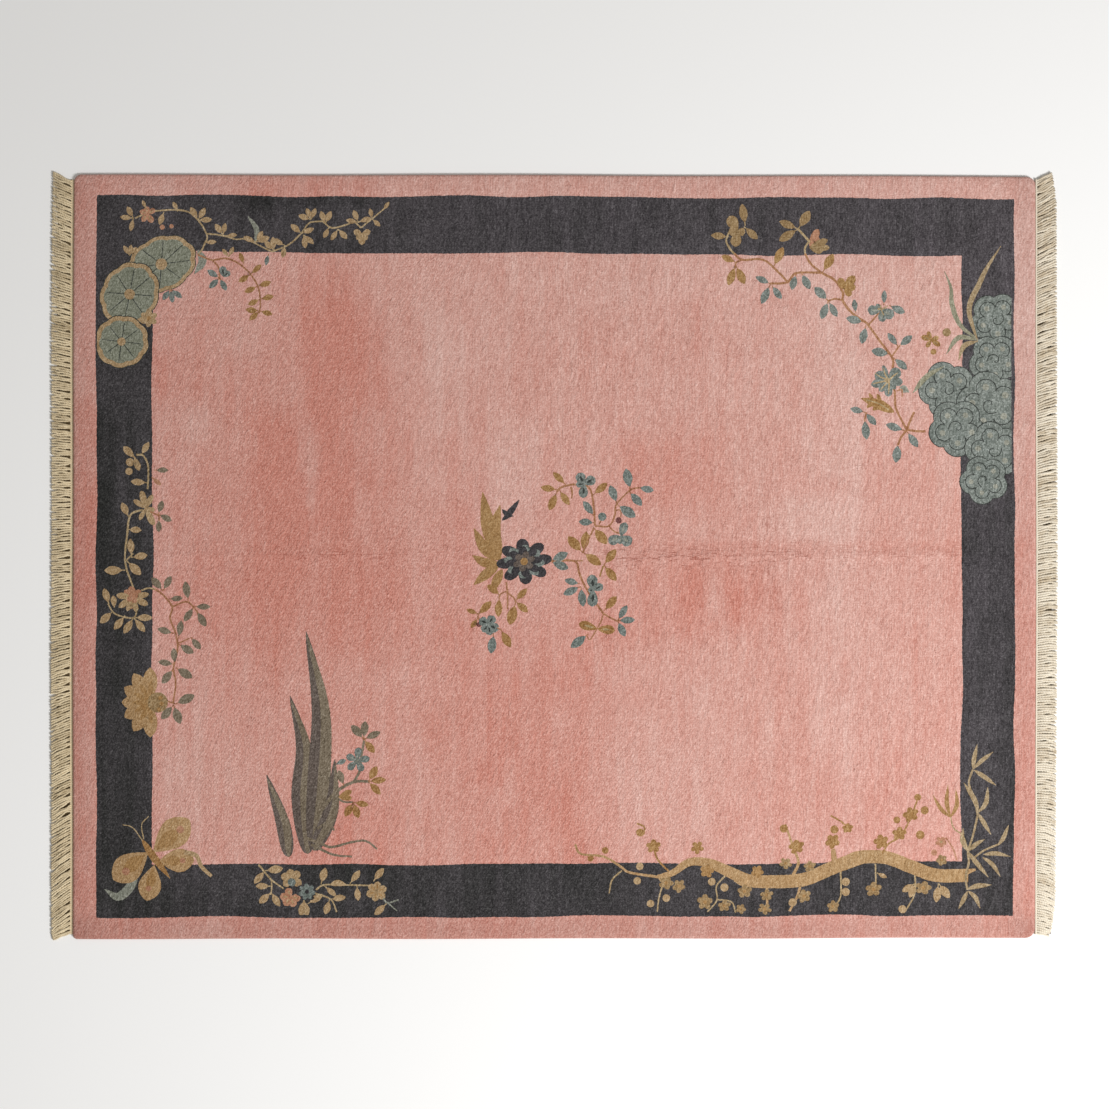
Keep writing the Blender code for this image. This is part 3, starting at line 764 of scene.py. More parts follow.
BOUGH = (
    Stem(
        "honey", 0.7, 0.8,
        ((6.7, -91.1), (8.5, -94.1), (15.8, -95), (21.5, -98.4), (24, -100), (33.3, -101.4)),
    ),
    *stems(
        "straw",
        (0.49, 0.42, (21.5, -99.4), (18.4, -102.4), (17.5, -106.6)),
        (0.49, 0.42, (34.9, -102.4), (33.4, -107.4), (32.7, -112.4)),
        (0.49, 0.42, (54.6, -100.5), (51.5, -104.2), (51.6, -108.6), (48.6, -112.4)),
        (0.42, 0.42, (51.6, -108.4), (56.2, -109.2), (57.6, -112.6)),
    ),
    *stems(
        "honey",
        (0.8, 0.7, (67.4, -104), (67.6, -112)), (0.8, 0.7, (78.4, -103), (77, -107.5), (74.6, -112.2)),
    ),
    *stems(
        "straw",
        (0.56, 0.42, (90.8, -99.5), (90.8, -107.4), (88.6, -111.2)),
        (0.49, 0.42, (101.8, -97.4), (102, -104.4)),
        (0.56, 0.42, (114.4, -100.6), (114.2, -107), (111.4, -112.2)),
    ),
    *stems(
        "honey",
        (1, 0.7, (75.6, -101), (77.4, -96.8), (75.8, -92), (73.2, -84.6)),
        (2.4, 0.6, (129.5, -100.2), (133.6, -99.1)), (2.2, 1.4, (89, -98.4), (88.4, -92.6)),
        (1.6, 4, (33, -101.5), (37.6, -100), (43, -96.6), (49.1, -96.9), (54.5, -99.2), (61.2, -102.4)),
        (
            4, 4.4,
            (57.8, -100.9), (61.2, -102.4), (70.3, -102.8), (79.4, -102.1), (88.5, -98.4), (97.3, -95.2),
        ),
        (4.2, 4.2, (93.6, -96.3), (97.3, -95.2), (105.2, -95.4), (113.1, -98.3), (121, -101), (131.2, -101)),
    ),
    *flowers("fawn", "gold", 5, (35.5, -103.2, 2.4, 10), (39.6, -104.2, 2.2, 40)),
    Flower("gold", "gold", 48.5, -99.4, 2.2, 5, 0),
    Flower("fawn", "gold", 60.4, -105.8, 2.3, 5, 20),
    Flower("gold", "gold", 64.4, -99.6, 2.2, 5, 50),
    *spots(
        "tan",
        (27.2, -98, 1.2), (26.4, -102.6, 1.2), (35.6, -108, 1.2), (30.6, -109.8, 1.2), (50, -102.8, 1.2),
        (54, -104.6, 1.3),
    ),
    *flowers(
        "fawn", "gold", 5,
        (47.8, -109.2, 2.5, 0), (54, -110.4, 2.2, 30), (59.2, -111.4, 1.8, 0), (67.4, -107, 2.2, 15),
        (66.8, -111.4, 2.1, 0), (79.2, -107.4, 2.5, 20),
    ),
    *spots("tan", (75.6, -109.4, 1.3), (92.4, -103, 1.3), (92.4, -106.2, 1.3)),
    *flowers("fawn", "gold", 5, (88.4, -110.8, 2, 0), (101.2, -105.4, 2.6, 20)),
    Spray("tan", "straw", 102.2, -100.2, 2.8, (335,)),
    Flower("fawn", "gold", 117, -105, 2.6, 5, 0),
    Spray("tan", "straw", 114.4, -103.6, 4.2, (208, 248)),
    Spot("tan", 110.4, -111.8, 1.3),
    Spray("tan", "straw", 121.8, -103.6, 4.8, (266, 312)),
    Flower("olive", "olive", 76.8, -91.8, 2.6, 5, 30),
    *flowers("fawn", "gold", 5, (73.4, -97, 2.2, 0), (81, -98, 2.2, 20)),
    Spot("olive", 72.8, -86, 1.3),
    Flower("olive", "olive", 88.2, -90.2, 2.5, 5, 40),
    *spots("olive", (88.8, -86.4, 1.3), (11.6, -95.6, 1), (16.2, -93, 1.1), (27.3, -87.3, 1.3)),
    *stems(
        "olive",
        (0.6, 0.5, (26.2, -84.4), (28.6, -85.6), (28.4, -88)),
        (0.6, 0.6, (31.8, -93), (33, -96), (36.4, -99.6)),
    ),
    *flowers("olive", "olive", 5, (31.5, -91.6, 2.3, 10), (45.4, -92, 2.3, 50)),
    Stem("olive", 0.6, 0.5, ((87.6, -82), (90.3, -83.5), (92.3, -85))),
    *flowers("olive", "olive", 5, (93, -86, 1.9, 0), (103.6, -90.4, 2.5, 25), (109.4, -87.8, 2.5, 0)),
    Spot("olive", 108.6, -83.5, 1.1),
    Flower("olive", "olive", 113, -81.8, 2.5, 5, 20),
    *spots("olive", (117.4, -80.4, 1.3), (115.2, -76.3, 1.1), (116, -88.2, 1.4)),
    Stem("olive", 0.6, 0.6, ((104, -94), (106, -91), (110, -88.4), (112.6, -83.4), (115, -77.4))),
    Flower("rust", "tan", 122.6, -90.4, 2, 5, 0),
    Spot("rust", 120.4, -93.8, 1),
    Flower("fawn", "gold", 122.8, -96.2, 2, 5, 30),
    Stem("rust", 0.5, 0.5, ((124.1, -89), (126.4, -92.6), (127.6, -96.2))),
)

BAMBOO = (
    *stems(
        "flax",
       
        (0.7, 0.7, (131, -105.6), (130.4, -101.6), (131.4, -97), (131.2, -93.4), (132.8, -88), (134.2, -82)),
        (0.7, 0.6, (134.2, -82), (133.4, -77), (131.4, -72), (132.6, -67.4)),
    ),
    *blades(
        "flax",
        (1.6, (131, -105.4), (134, -104.4), (138.6, -104)),
        (1.44, (131.2, -106), (133.5, -108), (135, -111.4)),
        (1.44, (131, -106), (129.8, -108.6), (128.2, -111.6)),
        (1.44, (132.6, -67.2), (133, -64), (134, -59.4)),
        (1.36, (132.8, -67.2), (135.2, -64.8), (139, -61.8)),
        (1.44, (133, -67.6), (135.8, -69.4), (140, -72.4)),
        (1.6, (134.4, -81), (133.2, -77), (129.8, -71.6)), (1.52, (134.4, -81), (136.8, -78), (137.4, -73)),
        (1.44, (134.4, -81.4), (136.2, -84.4), (138.4, -88)),
        (1.52, (131, -93.4), (129.4, -90), (129.6, -86)),
        (1.44, (131.4, -93.2), (133.8, -91), (136.4, -89.6)),
        (1.52, (131, -93.4), (134, -97.2), (137.6, -101.6)),
    ),
    Stem("flax", 0.6, 0.6, ((133.2, -95.3), (136.4, -93), (141, -91))),
    *blades(
        "flax",
        (1.36, (140.6, -91.4), (142.4, -89), (144, -85)), (1.36, (136, -94.4), (140, -94), (144.6, -95)),
        (1.36, (135.8, -95.2), (139, -97.6), (141.4, -101.4)),
    ),
    *blades(
        "gold",
        (1.44, (125.6, -82.6), (124.4, -78), (124.8, -72.4)),
        (1.36, (125.6, -82.6), (127.6, -78.6), (127.2, -73.6)),
        (1.28, (125.6, -82.6), (122.6, -80), (120, -75.6)),
    ),
    Stem("straw", 0.42, 0.42, ((125.6, -82.6), (126.6, -86), (129.6, -88.6), (131.2, -93.4))),
)

MOTIFS = (
    *LOTUS_POND,
    *TOP_LEFT_VINE,
    *CLOUD_BANK,
    *RIGHT_GRASS,
    *TOP_RIGHT_VINE,
    *CENTRE,
    *LEFT_VINE,
    *LEFT_LOTUS,
    *REEDS,
    *BUTTERFLY,
    *BOTTOM_VINE,
    *BOUGH,
    *BAMBOO,
)

LEAF_SHARE = 0.50  # a leaf's width to its length
LENGTH_SLIP, WIDTH_SLIP, SIZE_SLIP = 0.06, 0.10, 0.08  # how much leaves and flowers differ, as shares
LEAF_TURN_SLIP, FLOWER_TURN_SLIP = 5, 20  # in degrees
PETIOLE_SHARE = 0.20  # a leaf stalk's length to the leaf's
STALK_WIDTH = 0.0035
VEIN_WIDTH = 0.0028
INK_WIDTH = 0.0030  # of the dark line round a cloud or a pad
PAD_RIM = 0.014
PAD_VEINS = 8
CLOUD_LOBES = 5
PAD_LOBES = 9
ARC_STEP = 0.015  # how far apart the points of an arc lie
FLOWER_DEPTH = 0.44  # how deep the rosette's petals are parted
FLATTEST = 0.80  # how narrow the narrowest is
HEART_SHARE = 0.24  # of the flower's radius
CORE_START, CORE_LENGTH, CORE_WIDTH = 0.25, 0.45, 0.26  # shares of the petal that a core lies on
STAR_FULLNESS = 2.9  # the widths of a star's petals put together, to its radius
RAY_LENGTH = 0.62  # of the star's radius
RAY_THICKNESS = 1.6  # at its root, times the thinnest line
PAD_SCALLOPS, PAD_FACE_SCALLOPS = 0.06, 0.08
PAD_HEART = 0.16  # of the pad's length from its middle
PAD_VEIN_END = 1.6  # how far in from the outline, in widths of the rim
CLOUD_DEPTH = 0.2
LOBE_OUT, LOBE_LINE, LOBE_LINE_TURN = 0.48, 0.30, 115  # shares of the cloud's radius, and degrees
DOT_OUT, DOT_SIZE = 0.06, 0.10  # shares of the cloud's radius
CURL_STEPS, CURL_TURN, CURL_GROWTH = 7, 50, 0.045  # a curl turns and grows by this at each step

BLADE_FORM = Form(0.45, 0.8)
PETAL_FORM = Form(0.6, 0.7)
LEAF_FORM = Form(0.52, 0.68)
BLOOM_FORM = Form(0.62, 0.5)
CORE_FORM = Form(0.5, 0.9)
STAR_FORM = Form(0.66, 0.5)
REED_FORM = Form(0.3, 0.7)
REED_LIGHT_FORM = Form(0.35, 0.7)
REED_LIGHT_WIDTH, REED_LIGHT_SHIFT = 0.52, 0.2  # of the reed's width
REED_LIGHT_TIP = Vector((0.002, -0.012))


def scaled(points):
    return [Vector(point) * CM for point in points]


def centre_of(row):
    return Vector((row.x, row.y)) * CM


def draw_stem(drawing, row):
    drawing.add(row.yarn, ribbon(scaled(row.points), taper(row.start * CM, row.end * CM)))


def draw_blade(drawing, row):
    drawing.add(row.yarn, ribbon(scaled(row.points), lens(row.width * CM, BLADE_FORM)))


def draw_reed(drawing, row):
    """A broad leaf in two tones, darker on its left."""
    width, points = row.width * CM, scaled(row.points)
    drawing.add("slate", ribbon(points, lens(width, REED_FORM)))
    light = [point + Vector((width * REED_LIGHT_SHIFT, 0)) for point in points]
    light[0] = points[0]
    light[-1] = points[-1] + REED_LIGHT_TIP
    drawing.add("moss", ribbon(light, lens(width * REED_LIGHT_WIDTH, REED_LIGHT_FORM)))


def draw_petal(drawing, row):
    drawing.add(row.yarn, petal(centre_of(row), row.turn, row.length * CM, row.width * CM, PETAL_FORM))


def draw_spray(drawing, row):
    """Leaves that stand out from one place, each on a short stalk."""
    root = centre_of(row)
    for turn in row.turns:
        turn += drawing.chance.uniform(-LEAF_TURN_SLIP, LEAF_TURN_SLIP)
        length = drawing.near(row.length * CM, LENGTH_SLIP)
        base = root + towards(turn, PETIOLE_SHARE * length)
        drawing.add(row.stalk, ribbon((root, base + towards(turn, KNOT)), taper(STALK_WIDTH, STALK_WIDTH)))
        width = drawing.near(LEAF_SHARE * length, WIDTH_SLIP)
        drawing.add(row.yarn, petal(base, turn, length, width, LEAF_FORM))


def draw_flower(drawing, row):
    """A rosette of rounded petals with a heart, none quite like the next."""
    radius = drawing.near(row.radius * CM, SIZE_SLIP)
    turn = row.turn + drawing.chance.uniform(-FLOWER_TURN_SLIP, FLOWER_TURN_SLIP)
    squash = drawing.chance.uniform(FLATTEST, 1.0)
    drawing.add(row.yarn, rosette(centre_of(row), radius, row.petals, FLOWER_DEPTH, turn, squash))
    if row.heart != row.yarn:
        drawing.add(row.heart, disc(centre_of(row), radius * HEART_SHARE))


def draw_bloom(drawing, row):
    """An open or half-open flower of uneven petals, each with a core of the heart's yarn."""
    for turn, length, width in row.petals:
        drawing.add(row.yarn, petal(centre_of(row), turn, length * CM, width * CM, BLOOM_FORM))
    if row.heart == row.yarn:
        return
    for turn, length, width in row.petals:
        base = centre_of(row) + towards(turn, length * CM * CORE_START)
        core = petal(base, turn, length * CM * CORE_LENGTH, width * CM * CORE_WIDTH, CORE_FORM)
        drawing.add(row.heart, core)


def draw_star(drawing, row):
    """A flower of separate petals, with a ray along each."""
    centre, radius = centre_of(row), row.radius * CM
    width = radius * STAR_FULLNESS / row.petals
    turns = [row.turn + 360 * i / row.petals for i in range(row.petals)]
    for turn in turns:
        drawing.add(row.yarn, petal(centre, turn, drawing.near(radius, SIZE_SLIP), width, STAR_FORM))
    for turn in turns:
        ray = (centre, centre + towards(turn, radius * RAY_LENGTH))
        drawing.add(row.heart, ribbon(ray, taper(THINNEST * RAY_THICKNESS, THINNEST)))


def draw_spot(drawing, row):
    drawing.add(row.yarn, disc(centre_of(row), row.radius * CM))


def draw_pad(drawing, row):
    """A lotus leaf: scalloped rim, veins that fan out from the middle."""
    centre, reach, squash = centre_of(row), row.long * CM, row.wide / row.long
    drawing.add("ink", rosette(centre, reach + INK_WIDTH, PAD_LOBES, PAD_SCALLOPS, row.turn, squash))
    drawing.add("tan", rosette(centre, reach, PAD_LOBES, PAD_SCALLOPS, row.turn, squash))
    face = rosette(centre, reach - PAD_RIM, PAD_LOBES, PAD_FACE_SCALLOPS, row.turn, squash)
    drawing.add("celadon", face)
    for i in range(PAD_VEINS):
        angle = math.tau * (i + 0.5) / PAD_VEINS
        flat = Vector((math.cos(angle), squash * math.sin(angle))) * (reach - PAD_RIM * PAD_VEIN_END)
        tip = centre + Matrix.Rotation(math.radians(row.turn), 2) @ flat
        drawing.add("ink", ribbon((centre, centre.lerp(tip, 0.5), tip), taper(VEIN_WIDTH, THINNEST)))
    drawing.add("tan", disc(centre, reach * PAD_HEART))


def arc(centre, radius, start, end):
    count = max(4, round(math.radians(abs(end - start)) * radius / ARC_STEP))
    return [centre + towards(start + (end - start) * i / count, radius) for i in range(count + 1)]


def draw_cloud(drawing, row):
    """A traditional cloud head: lobes round a curl, each lobe with an inner line."""
    centre, radius = centre_of(row), row.radius * CM
    drawing.add("ink", rosette(centre, radius + INK_WIDTH, CLOUD_LOBES, CLOUD_DEPTH, row.turn))
    drawing.add("teal", rosette(centre, radius, CLOUD_LOBES, CLOUD_DEPTH, row.turn))
    for i in range(CLOUD_LOBES):
        turn = row.turn + 360 * i / CLOUD_LOBES
        lobe = centre + towards(turn, radius * LOBE_OUT)
        line = arc(lobe, radius * LOBE_LINE, turn - LOBE_LINE_TURN, turn + LOBE_LINE_TURN)
        drawing.add("ink", ribbon(line, taper(VEIN_WIDTH, VEIN_WIDTH)))
        drawing.add("mist", disc(lobe + towards(turn, radius * DOT_OUT), radius * DOT_SIZE))
    steps = range(1, CURL_STEPS + 1)
    curl = [centre + towards(row.turn + CURL_TURN * i, radius * CURL_GROWTH * i) for i in steps]
    drawing.add("ink", ribbon(curl, taper(VEIN_WIDTH, VEIN_WIDTH)))


DRAWERS = {
    Stem: draw_stem,
    Blade: draw_blade,
    Reed: draw_reed,
    Petal: draw_petal,
    Spray: draw_spray,
    Flower: draw_flower,
    Star: draw_star,
    Bloom: draw_bloom,
    Spot: draw_spot,
    Pad: draw_pad,
    Cloud: draw_cloud,
}


def draw_motifs():
    drawing = Drawing(random.Random(DRAWING_SEED))
    for row in MOTIFS:
        DRAWERS[type(row)](drawing, row)
    return drawing.shapes


# ---------------------------------------------------------------- the pile

GRID = 0.0144  # how far apart the points of the upper face lie
GRID_SLIP = 0.25  # of the grid
FOLD_GRID = 0.0055
FOLD_ROWS = 6  # on either side of the fold
FOLD_LOWEST = 0.0004  # the fold gets its finer points where it is higher than this
CLEAR_OF_OUTLINES = 0.004
OUTLINE_STEP = 0.0075
BAND_STEP = 0.005
BAND_SLIP = 0.0009
BAND_WANDER = 0.006
BAND_WANDER_LENGTH = 0.19
BAND_WANDER_SEED = 40  # so that the band's two edges wander apart
BAND_GROOVE = 0.0009
MOTIF_GROOVE = 0.0005
CDT_INSIDE = 1
COARSE_FROM = 15  # an outline with more points than this shows with half of them on the back
MERGE = 1e-6
PILE_SEED = 3


def corner_place(corner, inset):
    """The point that lies in from a corner of the pile by inset, an x and a y."""
    return Vector((corner.x * (PILE_LENGTH / 2 - inset[0]), corner.y * (PILE_WIDTH / 2 - inset[1])))


def corner_middle(corner):
    return corner_place(corner, (corner.radius, corner.radius))


def core_point(point):
    """The pile's corner that is nearest to a point, and the nearest point of the core between the
    middles of the rounded corners."""
    corner = next(c for c in CORNERS if c.x * point[0] >= 0 and c.y * point[1] >= 0)
    middle = corner_middle(corner)
    core = [math.copysign(min(abs(point[i]), abs(middle[i])), point[i]) for i in range(2)]
    return corner, Vector(core)


def rounded_outline(inset, step):
    """The pile's outline moved inwards, as points a step apart, counter-clockwise."""
    points = []
    for quarter, corner in enumerate(CORNERS):
        count = max(3, round(math.pi / 2 * corner.radius / step))
        for i in range(count + 1):
            turn = 90 * (quarter + i / count)
            points.append(corner_middle(corner) + towards(turn, corner.radius - inset))
        after = CORNERS[(quarter + 1) % len(CORNERS)]
        start, end = points[-1], corner_middle(after) + towards(90 * (quarter + 1), after.radius - inset)
        count = round((end - start).length / step)
        points += [start.lerp(end, i / count) for i in range(1, count)]
    return points


def moved_in(point, inset):
    """A point of the pile's outline moved to another row of the rim."""
    corner, core = core_point(point)
    return core + (point - core).normalized() * (corner.radius - inset)


def random_slip(chance):
    return Vector((chance.uniform(-1, 1), chance.uniform(-1, 1)))


def band_outline(insets, chance):
    """One edge of the dark band, a little uneven as knots leave it."""
    corners = [corner_place(corner, inset) for corner, inset in zip(CORNERS, insets)]
    points = []
    seed = insets[0][0] * BAND_WANDER_SEED
    for start, end in zip(corners, corners[1:] + corners[:1]):
        count = round((end - start).length / BAND_STEP)
        for i in range(count):
            slip = random_slip(chance) * BAND_SLIP
            place = start.lerp(end, i / count)
            seat = Vector((place.x / BAND_WANDER_LENGTH, place.y / BAND_WANDER_LENGTH, seed))
            wander = noise.noise(seat) * BAND_WANDER
            points.append(place + slip + Vector((wander, wander)))
    return points


def flat_faces(shapes, loose):
    """Cuts a flat area into triangles along the shapes' outlines. Gives its points, its triangles, the
    yarn of each, and for each shape the numbers of its outline's points."""
    given = [point for _, outline in shapes for point in outline]
    outlines, first = [], 0
    for _, outline in shapes:
        outlines.append(list(range(first, first + len(outline))))
        first += len(outline)
    cut = delaunay_2d_cdt([*given, *loose], [], outlines, CDT_INSIDE, MERGE, True)
    points, _, triangles, sources, _, owners = cut
    number = {source: i for i, several in enumerate(sources) for source in several}
    inside = [(triangle, shapes[max(owner)][0]) for triangle, owner in zip(triangles, owners) if owner]
    triangles, yarns = ([pair[i] for pair in inside] for i in range(2))
    return points, triangles, yarns, [[number[i] for i in outline] for outline in outlines]


def outline_tree(shapes):
    """All the outlines' points, to find the nearest in."""
    points = [point for _, outline in shapes for point in outline]
    tree = KDTree(len(points))
    for number, point in enumerate(points):
        tree.insert(point.to_3d(), number)
    tree.balance()
    return tree


def slipped_grid(rows, columns, step, chance):
    """Places a step apart round the pile's middle, each with a slip of its own."""
    for row in range(-rows, rows + 1):
        for column in range(-columns, columns + 1):
            yield column * step, row * step, random_slip(chance) * step * GRID_SLIP


def loose_points(shapes, chance):
    """Points between the outlines, so that the upper face can be uneven. They lie closer together at
    the fold."""
    tree = outline_tree(shapes)
    reach = Vector((PILE_LENGTH / 2, PILE_WIDTH / 2)) - Vector((1, 1)) * (RIM[0].inset + GRID / 2)
    coarse = slipped_grid(int(reach.y / GRID), int(reach.x / GRID), GRID, chance)
    places = [Vector((x, y)) + slip for x, y, slip in coarse]
    for x, y, slip in slipped_grid(FOLD_ROWS, int(reach.x / FOLD_GRID), FOLD_GRID, chance):
        if fold_strength(x) > FOLD_LOWEST:
            places.append(Vector((x, FOLD_Y + y)) + slip)
    within = [place for place in places if within_rim(place)]
    return [place for place in within if tree.find(place.to_3d())[2] > CLEAR_OF_OUTLINES]


def within_rim(place):
    corner, core = core_point(place)
    return (place - core).length <= max(corner.radius - RIM[0].inset - GRID / 2, 0)


# Soft patches where the dye took more or less, in centimetres: deeper where shift is below 0
Fade = namedtuple("Fade", "x y long wide shift")
# The long thin row at (88, 3) is painted shade, not dye: the darker line just above the old fold
FADES = [
    Fade(*row)
    for row in (
        (-90, 5, 27, 46, -0.18), (-88, 8, 8, 40, -0.24), (-72, 56, 8, 42, -0.32), (-64, 6, 18, 36, -0.24),
        (-70, 66, 20, 26, -0.20), (-58, -13, 13, 18, -0.14), (-117, 62, 10, 13, -0.18),
        (35, 26, 17, 14, -0.28), (46, -14, 23, 14, -0.30), (-9, -64, 23, 40, -0.25),
        (-64, -90, 13, 15, -0.24), (39, -69, 18, 29, 0.20), (91, 30, 7, 70, 0.16), (110, 75, 36, 32, 0.12),
        (-110, -82, 25, 23, 0.22), (-118, -40, 10, 26, 0.13), (43, -9, 4, 8, -0.25), (-13, 22, 8, 21, 0.18),
        (-147, 6, 7, 30, -0.28), (150, -45, 7, 74, -0.20), (-88, 115, 13, 6, -0.30),
        (88, 3, 70, 2.6, -0.14), (-113, 42, 3.5, 7, 0.22), (-78, 36, 2.6, 9, 0.30), (-77, 21, 2.5, 7, 0.25),
        (-88, 33, 7, 13, -0.22), (-64, 70, 7, 12, -0.20), (-124, 57, 2.5, 8, -0.22),
        (50, -13, 2.2, 8, 0.22), (58, -16, 3.2, 5.5, -0.15), (77, -13, 3, 7, -0.15), (87, -37, 4, 5, 0.12),
        (81, 12, 10, 8, 0.30), (89, -20, 9, 10, 0.10), (30, 89, 16, 8, 0.14), (-36, -45, 9, 18, -0.10),
        (-110, -14, 10, 14, -0.14), (-136, -10, 8.5, 100, -0.12), (-134, -92, 10, 22, -0.14),
        (136, 0, 8, 100, 0.06), (-36, 66, 9, 20, 0.14), (-98, 50, 6, 12, -0.22), (-34, -8, 9, 26, -0.22),
        (-58, 54, 7, 8, -0.15), (-58, -40, 8, 12, -0.15), (15, -20, 10, 14, -0.20), (33, -51, 9, 10, -0.15),
        (31, 8, 8, 4, -0.12), (-73, 33, 8, 8, 0.20), (-19, -80, 8, 8, 0.18), (64, 92, 22, 8, 0.16),
        (149, 76, 6, 24, 0.25), (-115, -119, 14, 4, 0.20), (89, -55, 7, 16, 0.16), (84, 32, 7, 8, 0.16),
        (-147, 113, 6, 7, -0.20), (-147, 42, 6, 8, -0.20), (-66, 116, 12, 5, -0.30),
        (-92, -75, 16, 22, -0.10),
    )
]
FADE_MIDDLE, PAINTED_LIGHT_ALONG, FADE_ACROSS = 0.48, 0.05, 0.12  # and how much more for each metre; the paling to the right is painted light, the lamp's fall-off
FADE_REACH = 1.6  # a patch has no effect further out than this, of its own size
COMBING_MIDDLE, COMBING_ALONG, COMBING_ACROSS = 0.5, -0.42, -0.25  # and how much more for each metre

Soil = namedtuple("Soil", "axis side share")  # how much darker the pile is at one of its edges
SOILS = (Soil(0, -1, 0.10), Soil(0, 1, 0.10), Soil(1, -1, 0.16), Soil(1, 1, 0.02))
SOIL_WIDTH = 0.075


def fade_and_painted_light_at(x, y):
    """How pale the pile is, from about 0 to 1: its patches, with painted light that pales it to the right.
    """
    total = FADE_MIDDLE + PAINTED_LIGHT_ALONG * x + FADE_ACROSS * y
    for row in FADES:
        across, up = (x / CM - row.x) / row.long, (y / CM - row.y) / row.wide
        if abs(across) < FADE_REACH and abs(up) < FADE_REACH:
            total += row.shift * math.exp(-(across**4) - up**4)
    return total


def soil_at(x, y):
    """How much darker the pile is with soil."""
    half, place = (PILE_LENGTH / 2, PILE_WIDTH / 2), (x, y)
    inward = [(row.share, half[row.axis] - row.side * place[row.axis]) for row in SOILS]
    return sum(share * math.exp(-((distance / SOIL_WIDTH) ** 4)) for share, distance in inward)


def crease_at(x, y):
    """How much the pile is wrinkled along the old fold."""
    return fold_strength(x, CREASES) * math.exp(-(((y - FOLD_Y) / CREASE_WIDTH) ** 2))


def cross_crease_at(x, y):
    """How much the pile is wrinkled where another fold has crossed the first."""
    return fold_strength(y, (CROSS,)) * math.exp(-(((x - CROSS_X) / CROSS_WIDTH) ** 2))


def combing_at(x, y):
    """How much the pile lies combed over to one side, which is most at the left and the bottom."""
    return COMBING_MIDDLE + COMBING_ALONG * x + COMBING_ACROSS * y


POINT_VALUES = {
    "fade_and_painted_light": fade_and_painted_light_at,
    "soil": soil_at,
    "crease": crease_at,
    "cross": cross_crease_at,
    "combing": combing_at,
}


def add_values(made, name, values):
    made.data.attributes.new(name, "FLOAT", "POINT").data.foreach_set("value", values)


# The sheared surface's tufts, streaks and patches: their size across and along it, where their noise is
# taken from, and their height
Bumps = namedtuple("Bumps", "across along seed height")
BUMPS = (
    Bumps(0.014, 0.014, 0.3, 0.00035),
    Bumps(0.012, 0.16, 4.1, 0.00030),
    Bumps(0.07, 0.07, 8.7, 0.00050),
)


def unevenness(x, y):
    """How far the sheared surface is off its even height."""
    return sum(noise.noise(Vector((x / b.across, y / b.along, b.seed))) * b.height for b in BUMPS)


def groove_depths(rims):
    """How deep the shears have cut round the band and the motifs, for each point on an outline."""
    depths = {i: MOTIF_GROOVE for rim in rims[3:] for i in rim}
    depths.update({i: BAND_GROOVE for rim in rims[1:3] for i in rim})
    return depths


def add_rim(flat, heights, faces, yarns, rim):
    """Rounds the upper face down to the floor, ring by ring, and gives the lowest ring."""
    flat_rim = [flat[i] for i in rim]
    for row in RIM[1:]:
        ring = list(range(len(flat), len(flat) + len(rim)))
        flat += [moved_in(point, row.inset) for point in flat_rim]
        heights += [row.share * pile_height(*flat[i]) for i in ring]
        for i in range(len(ring)):
            j = (i + 1) % len(ring)
            faces.append((rim[j], rim[i], ring[i], ring[j]))
            yarns.append("rose")
        rim = ring
    return rim


def add_back(flat, heights, faces, yarns, rim, shapes):
    """Closes the pile with its underside, where the same yarns show with coarser outlines."""
    coarse = [("rose", [flat[i] for i in rim])]
    for yarn, outline in shapes[1:]:
        coarse.append((yarn, outline[::2] if len(outline) > COARSE_FROM else outline))
    points, back, back_yarns, rims = flat_faces(coarse, [])
    new = dict(zip(rims[0], rim))
    for i, point in enumerate(points):
        if i not in new:
            new[i] = len(flat)
            flat.append(point)
            heights.append(0.0)
    faces += [tuple(new[i] for i in reversed(face)) for face in back]
    yarns += back_yarns


def build_pile(chance):
    """Gives the pile's points, faces, the yarn of each face, and each point's place before it settled."""
    shapes = [
        ("rose", rounded_outline(RIM[0].inset, OUTLINE_STEP)),
        ("charcoal", band_outline(BAND_OUTER, chance)),
        ("rose", band_outline(BAND_INNER, chance)),
        *draw_motifs(),
    ]
    flat, triangles, yarns, rims = flat_faces(shapes, loose_points(shapes, chance))
    depths = groove_depths(rims)
    heights = [pile_height(*p) + unevenness(*p) - depths.get(i, 0) for i, p in enumerate(flat)]
    faces = [tuple(triangle) for triangle in triangles]
    lowest = add_rim(flat, heights, faces, yarns, rims[0])
    add_back(flat, heights, faces, yarns, lowest, shapes)
    verts = [(*settled(*place), height) for place, height in zip(flat, heights)]
    return verts, faces, yarns, flat


def make_object(name, verts, faces):
    mesh = bpy.data.meshes.new(name)
    mesh.from_pydata(verts, [], faces)
    mesh.validate()
    mesh.shade_smooth()
    made = bpy.data.objects.new(name, mesh)
    bpy.context.scene.collection.objects.link(made)
    return made


# ---------------------------------------------------------------- materials

LEAN = -24  # degrees from upright, the way that the pile leans

